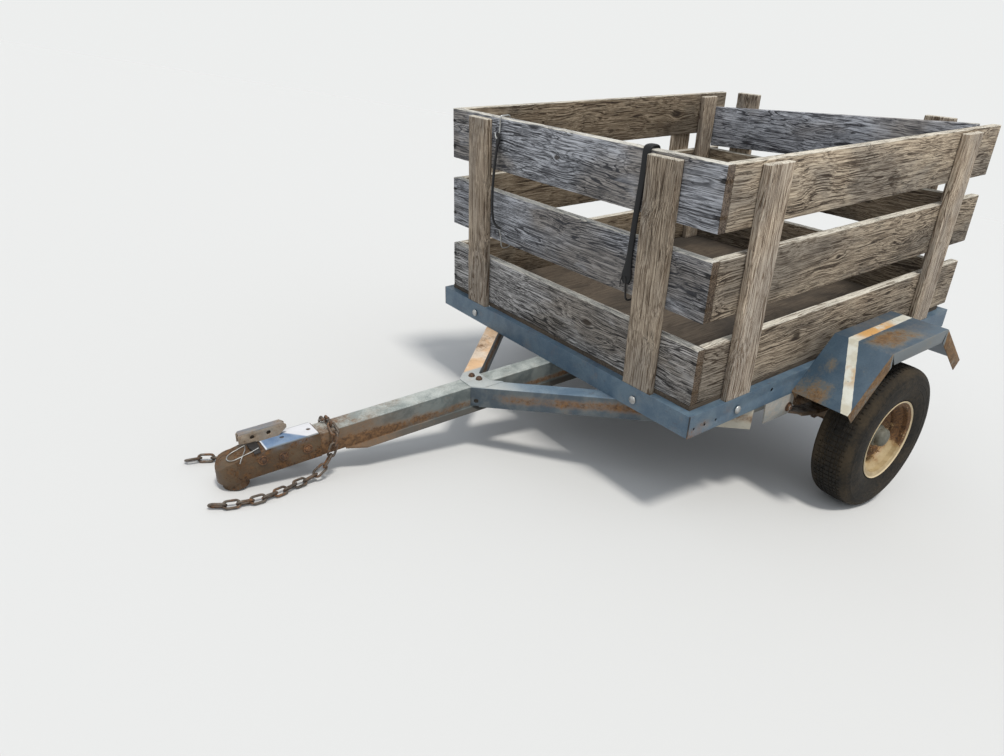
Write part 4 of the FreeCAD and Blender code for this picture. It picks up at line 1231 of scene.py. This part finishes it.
def dress_straps():
    """Two rubber straps over the front boards, each held by wire hooks."""
    flat, edgeways, turning = (0, 1, 0), (0.52, 0.854, 0), (0.30, 0.954, 0)
    left = [
        (0.6168, 0.2790, 0.9250, 0.0120), (0.6168, 0.2790, 0.9330, 0.0150),
        (0.6168, 0.2790, 0.9480, 0.0115), (0.6166, 0.2792, 0.9640, 0.0110),
        (0.6205, 0.2795, 0.9722, 0.0115), (0.6330, 0.2800, 0.9730, 0.0120),
        (0.6460, 0.2806, 0.9722, 0.0120), (0.6497, 0.2804, 0.9640, 0.0120),
        (0.6495, 0.2792, 0.9400, 0.0104), (0.6494, 0.2760, 0.9000, 0.0090),
        (0.6492, 0.2712, 0.8500, 0.0086), (0.6492, 0.2670, 0.7950, 0.0086),
        (0.6492, 0.2640, 0.7400, 0.0086), (0.6492, 0.2618, 0.7050, 0.0096),
        (0.6496, 0.2605, 0.6850, 0.0150), (0.6500, 0.2598, 0.6700, 0.0168),
        (0.6500, 0.2598, 0.6590, 0.0130), (0.6500, 0.2598, 0.6540, 0.0070)]
    right = [(0.6525, -0.2570, 0.9290, 0.0080, turning), (0.6528, -0.2572, 0.9200, 0.0150, turning),
             (0.6534, -0.2575, 0.9060, 0.0145, turning), (0.6550, -0.2580, 0.8940, 0.0092, edgeways),
             (0.6575, -0.2585, 0.8780, 0.0084, edgeways), (0.6620, -0.2590, 0.8450, 0.0086, edgeways),
             (0.6660, -0.2600, 0.7950, 0.0086, edgeways), (0.6675, -0.2605, 0.7450, 0.0086, edgeways),
             (0.6660, -0.2600, 0.7050, 0.0086, edgeways), (0.6630, -0.2570, 0.6860, 0.0090, edgeways),
             (0.6590, -0.2500, 0.6765, 0.0110, edgeways), (0.6560, -0.2430, 0.6730, 0.0110, turning),
             (0.6540, -0.2370, 0.6705, 0.0060, turning)]
    left = [(*row, flat) for row in left]
    stand_in(make_band(left, 0.0060), "strap_left", strap_rubber, 60.0)
    stand_in(make_band(right, 0.0068), "strap_right", strap_rubber, 60.0)

    tail = [(0.6520, 0.2500, 0.6740), (0.6540, 0.2470, 0.6660), (0.6530, 0.2452, 0.6430)]
    hooks = [foot_hook((0.6535, 0.2600, 0.6720), 0.2630, 0.0024), run_of(tail, 0.0012, turns=2, kind="NURBS")]
    stand_in(joined(hooks), "strap_hooks_left", black_iron, 50.0)
    top = deck_top + board_heights[2] + board_width
    over = [(0.6178, -0.2560, top - 0.020), (0.6176, -0.2555, top - 0.006), (0.6166, -0.2550, top + 0.0056),
            (0.6330, -0.2545, top + 0.0050), (0.6496, -0.2540, top + 0.0056), (0.6492, -0.2540, top - 0.010),
            (0.6495, -0.2545, top - 0.030), (0.6530, -0.2550, top - 0.047), (0.6565, -0.2580, top - 0.054),
            (0.6565, -0.2650, top - 0.050), (0.6545, -0.2690, top - 0.038)]
    hooks = [run_of(over, 0.0021, kind="NURBS"), foot_hook((0.6570, -0.2395, 0.6720), -0.2370, 0.0017)]
    stand_in(joined(hooks), "strap_hooks_right", zinc, 50.0)


dress_wood()
dress_steel()
dress_wheels()
dress_chains()
dress_fasteners()
dress_coupler()
dress_straps()


# Camera, floor and light

def make_camera():
    """The photograph's viewpoint, found on the level trailer and leaned with it."""
    position = Vector((1.8630, 1.3932, 1.2265))
    azimuth, elevation, roll = (math.radians(angle) for angle in (-127.0248, -26.9391, 1.5331))
    ahead = Vector((math.cos(elevation) * math.cos(azimuth), math.cos(elevation) * math.sin(azimuth),
                    math.sin(elevation)))
    right = ahead.cross(Vector((0, 0, 1))).normalized()
    up = right.cross(ahead)
    turn = Matrix((right, up, -ahead)).transposed().to_4x4() @ Matrix.Rotation(roll, 4, "Z")
    data = bpy.data.cameras.new("photo_camera")
    data.sensor_fit = "HORIZONTAL"
    data.sensor_width = 36.0
    data.lens = 26.02
    data.clip_end = 200.0
    camera = new_object("photo_camera", data)
    camera.matrix_world = to_rest @ Matrix.Translation(position) @ turn
    bpy.context.scene.camera = camera


def make_stage():
    """A plain pale floor."""
    floor = primitive(bpy.ops.mesh.primitive_plane_add, size=60.0)
    floor.name = "floor"
    material = bpy.data.materials.new("pale_floor")
    material.use_nodes = True
    shader = material.node_tree.nodes["Principled BSDF"]
    feed_named(shader, {"Base Color": (0.60, 0.60, 0.59), "Roughness": 0.9, "Specular IOR Level": 0.1})
    floor.data.materials.append(material)


def make_sun(name, direction, energy, angle, tint):
    """A soft far lamp that shines along a direction."""
    data = bpy.data.lights.new(name, "SUN")
    data.energy = energy
    data.angle = math.radians(angle)
    data.color = tint
    lamp = new_object(name, data)
    lamp.rotation_mode = "QUATERNION"
    lamp.rotation_quaternion = Vector((0, 0, -1)).rotation_difference(Vector(direction))


def make_light():
    """Soft sky and two lamps. The camera, gloss and glass see a backdrop of the floor's own tone."""
    world = bpy.data.worlds.new("studio")
    bpy.context.scene.world = world
    world.use_nodes = True
    tree = world.node_tree
    sky = tree.nodes["Background"]
    feed_named(sky, {"Color": (0.88, 0.93, 1.0), "Strength": 0.72})
    backdrop = add_node(tree, "ShaderNodeBackground", (0.847, 0.857, 0.851))
    path = add_node(tree, "ShaderNodeLightPath")
    seen = Value(path.outputs["Is Camera Ray"])
    for ray in ("Is Glossy Ray", "Is Transmission Ray"):
        seen = compute("MAXIMUM", seen, Value(path.outputs[ray]))
    either = add_node(tree, "ShaderNodeMixShader", seen, Value(sky.outputs[0]), Value(backdrop.outputs[0]))
    tree.links.new(either.outputs[0], tree.nodes["World Output"].inputs["Surface"])
    make_sun("key", (-0.15, -0.38, -1.0), 2.4, 10.0, (1.0, 0.965, 0.91))
    make_sun("fill", (-0.9, -0.2, -0.6), 0.45, 60.0, (0.9, 0.95, 1.0))


make_camera()
make_stage()
make_light()
bpy.context.scene.view_settings.view_transform = "Standard"
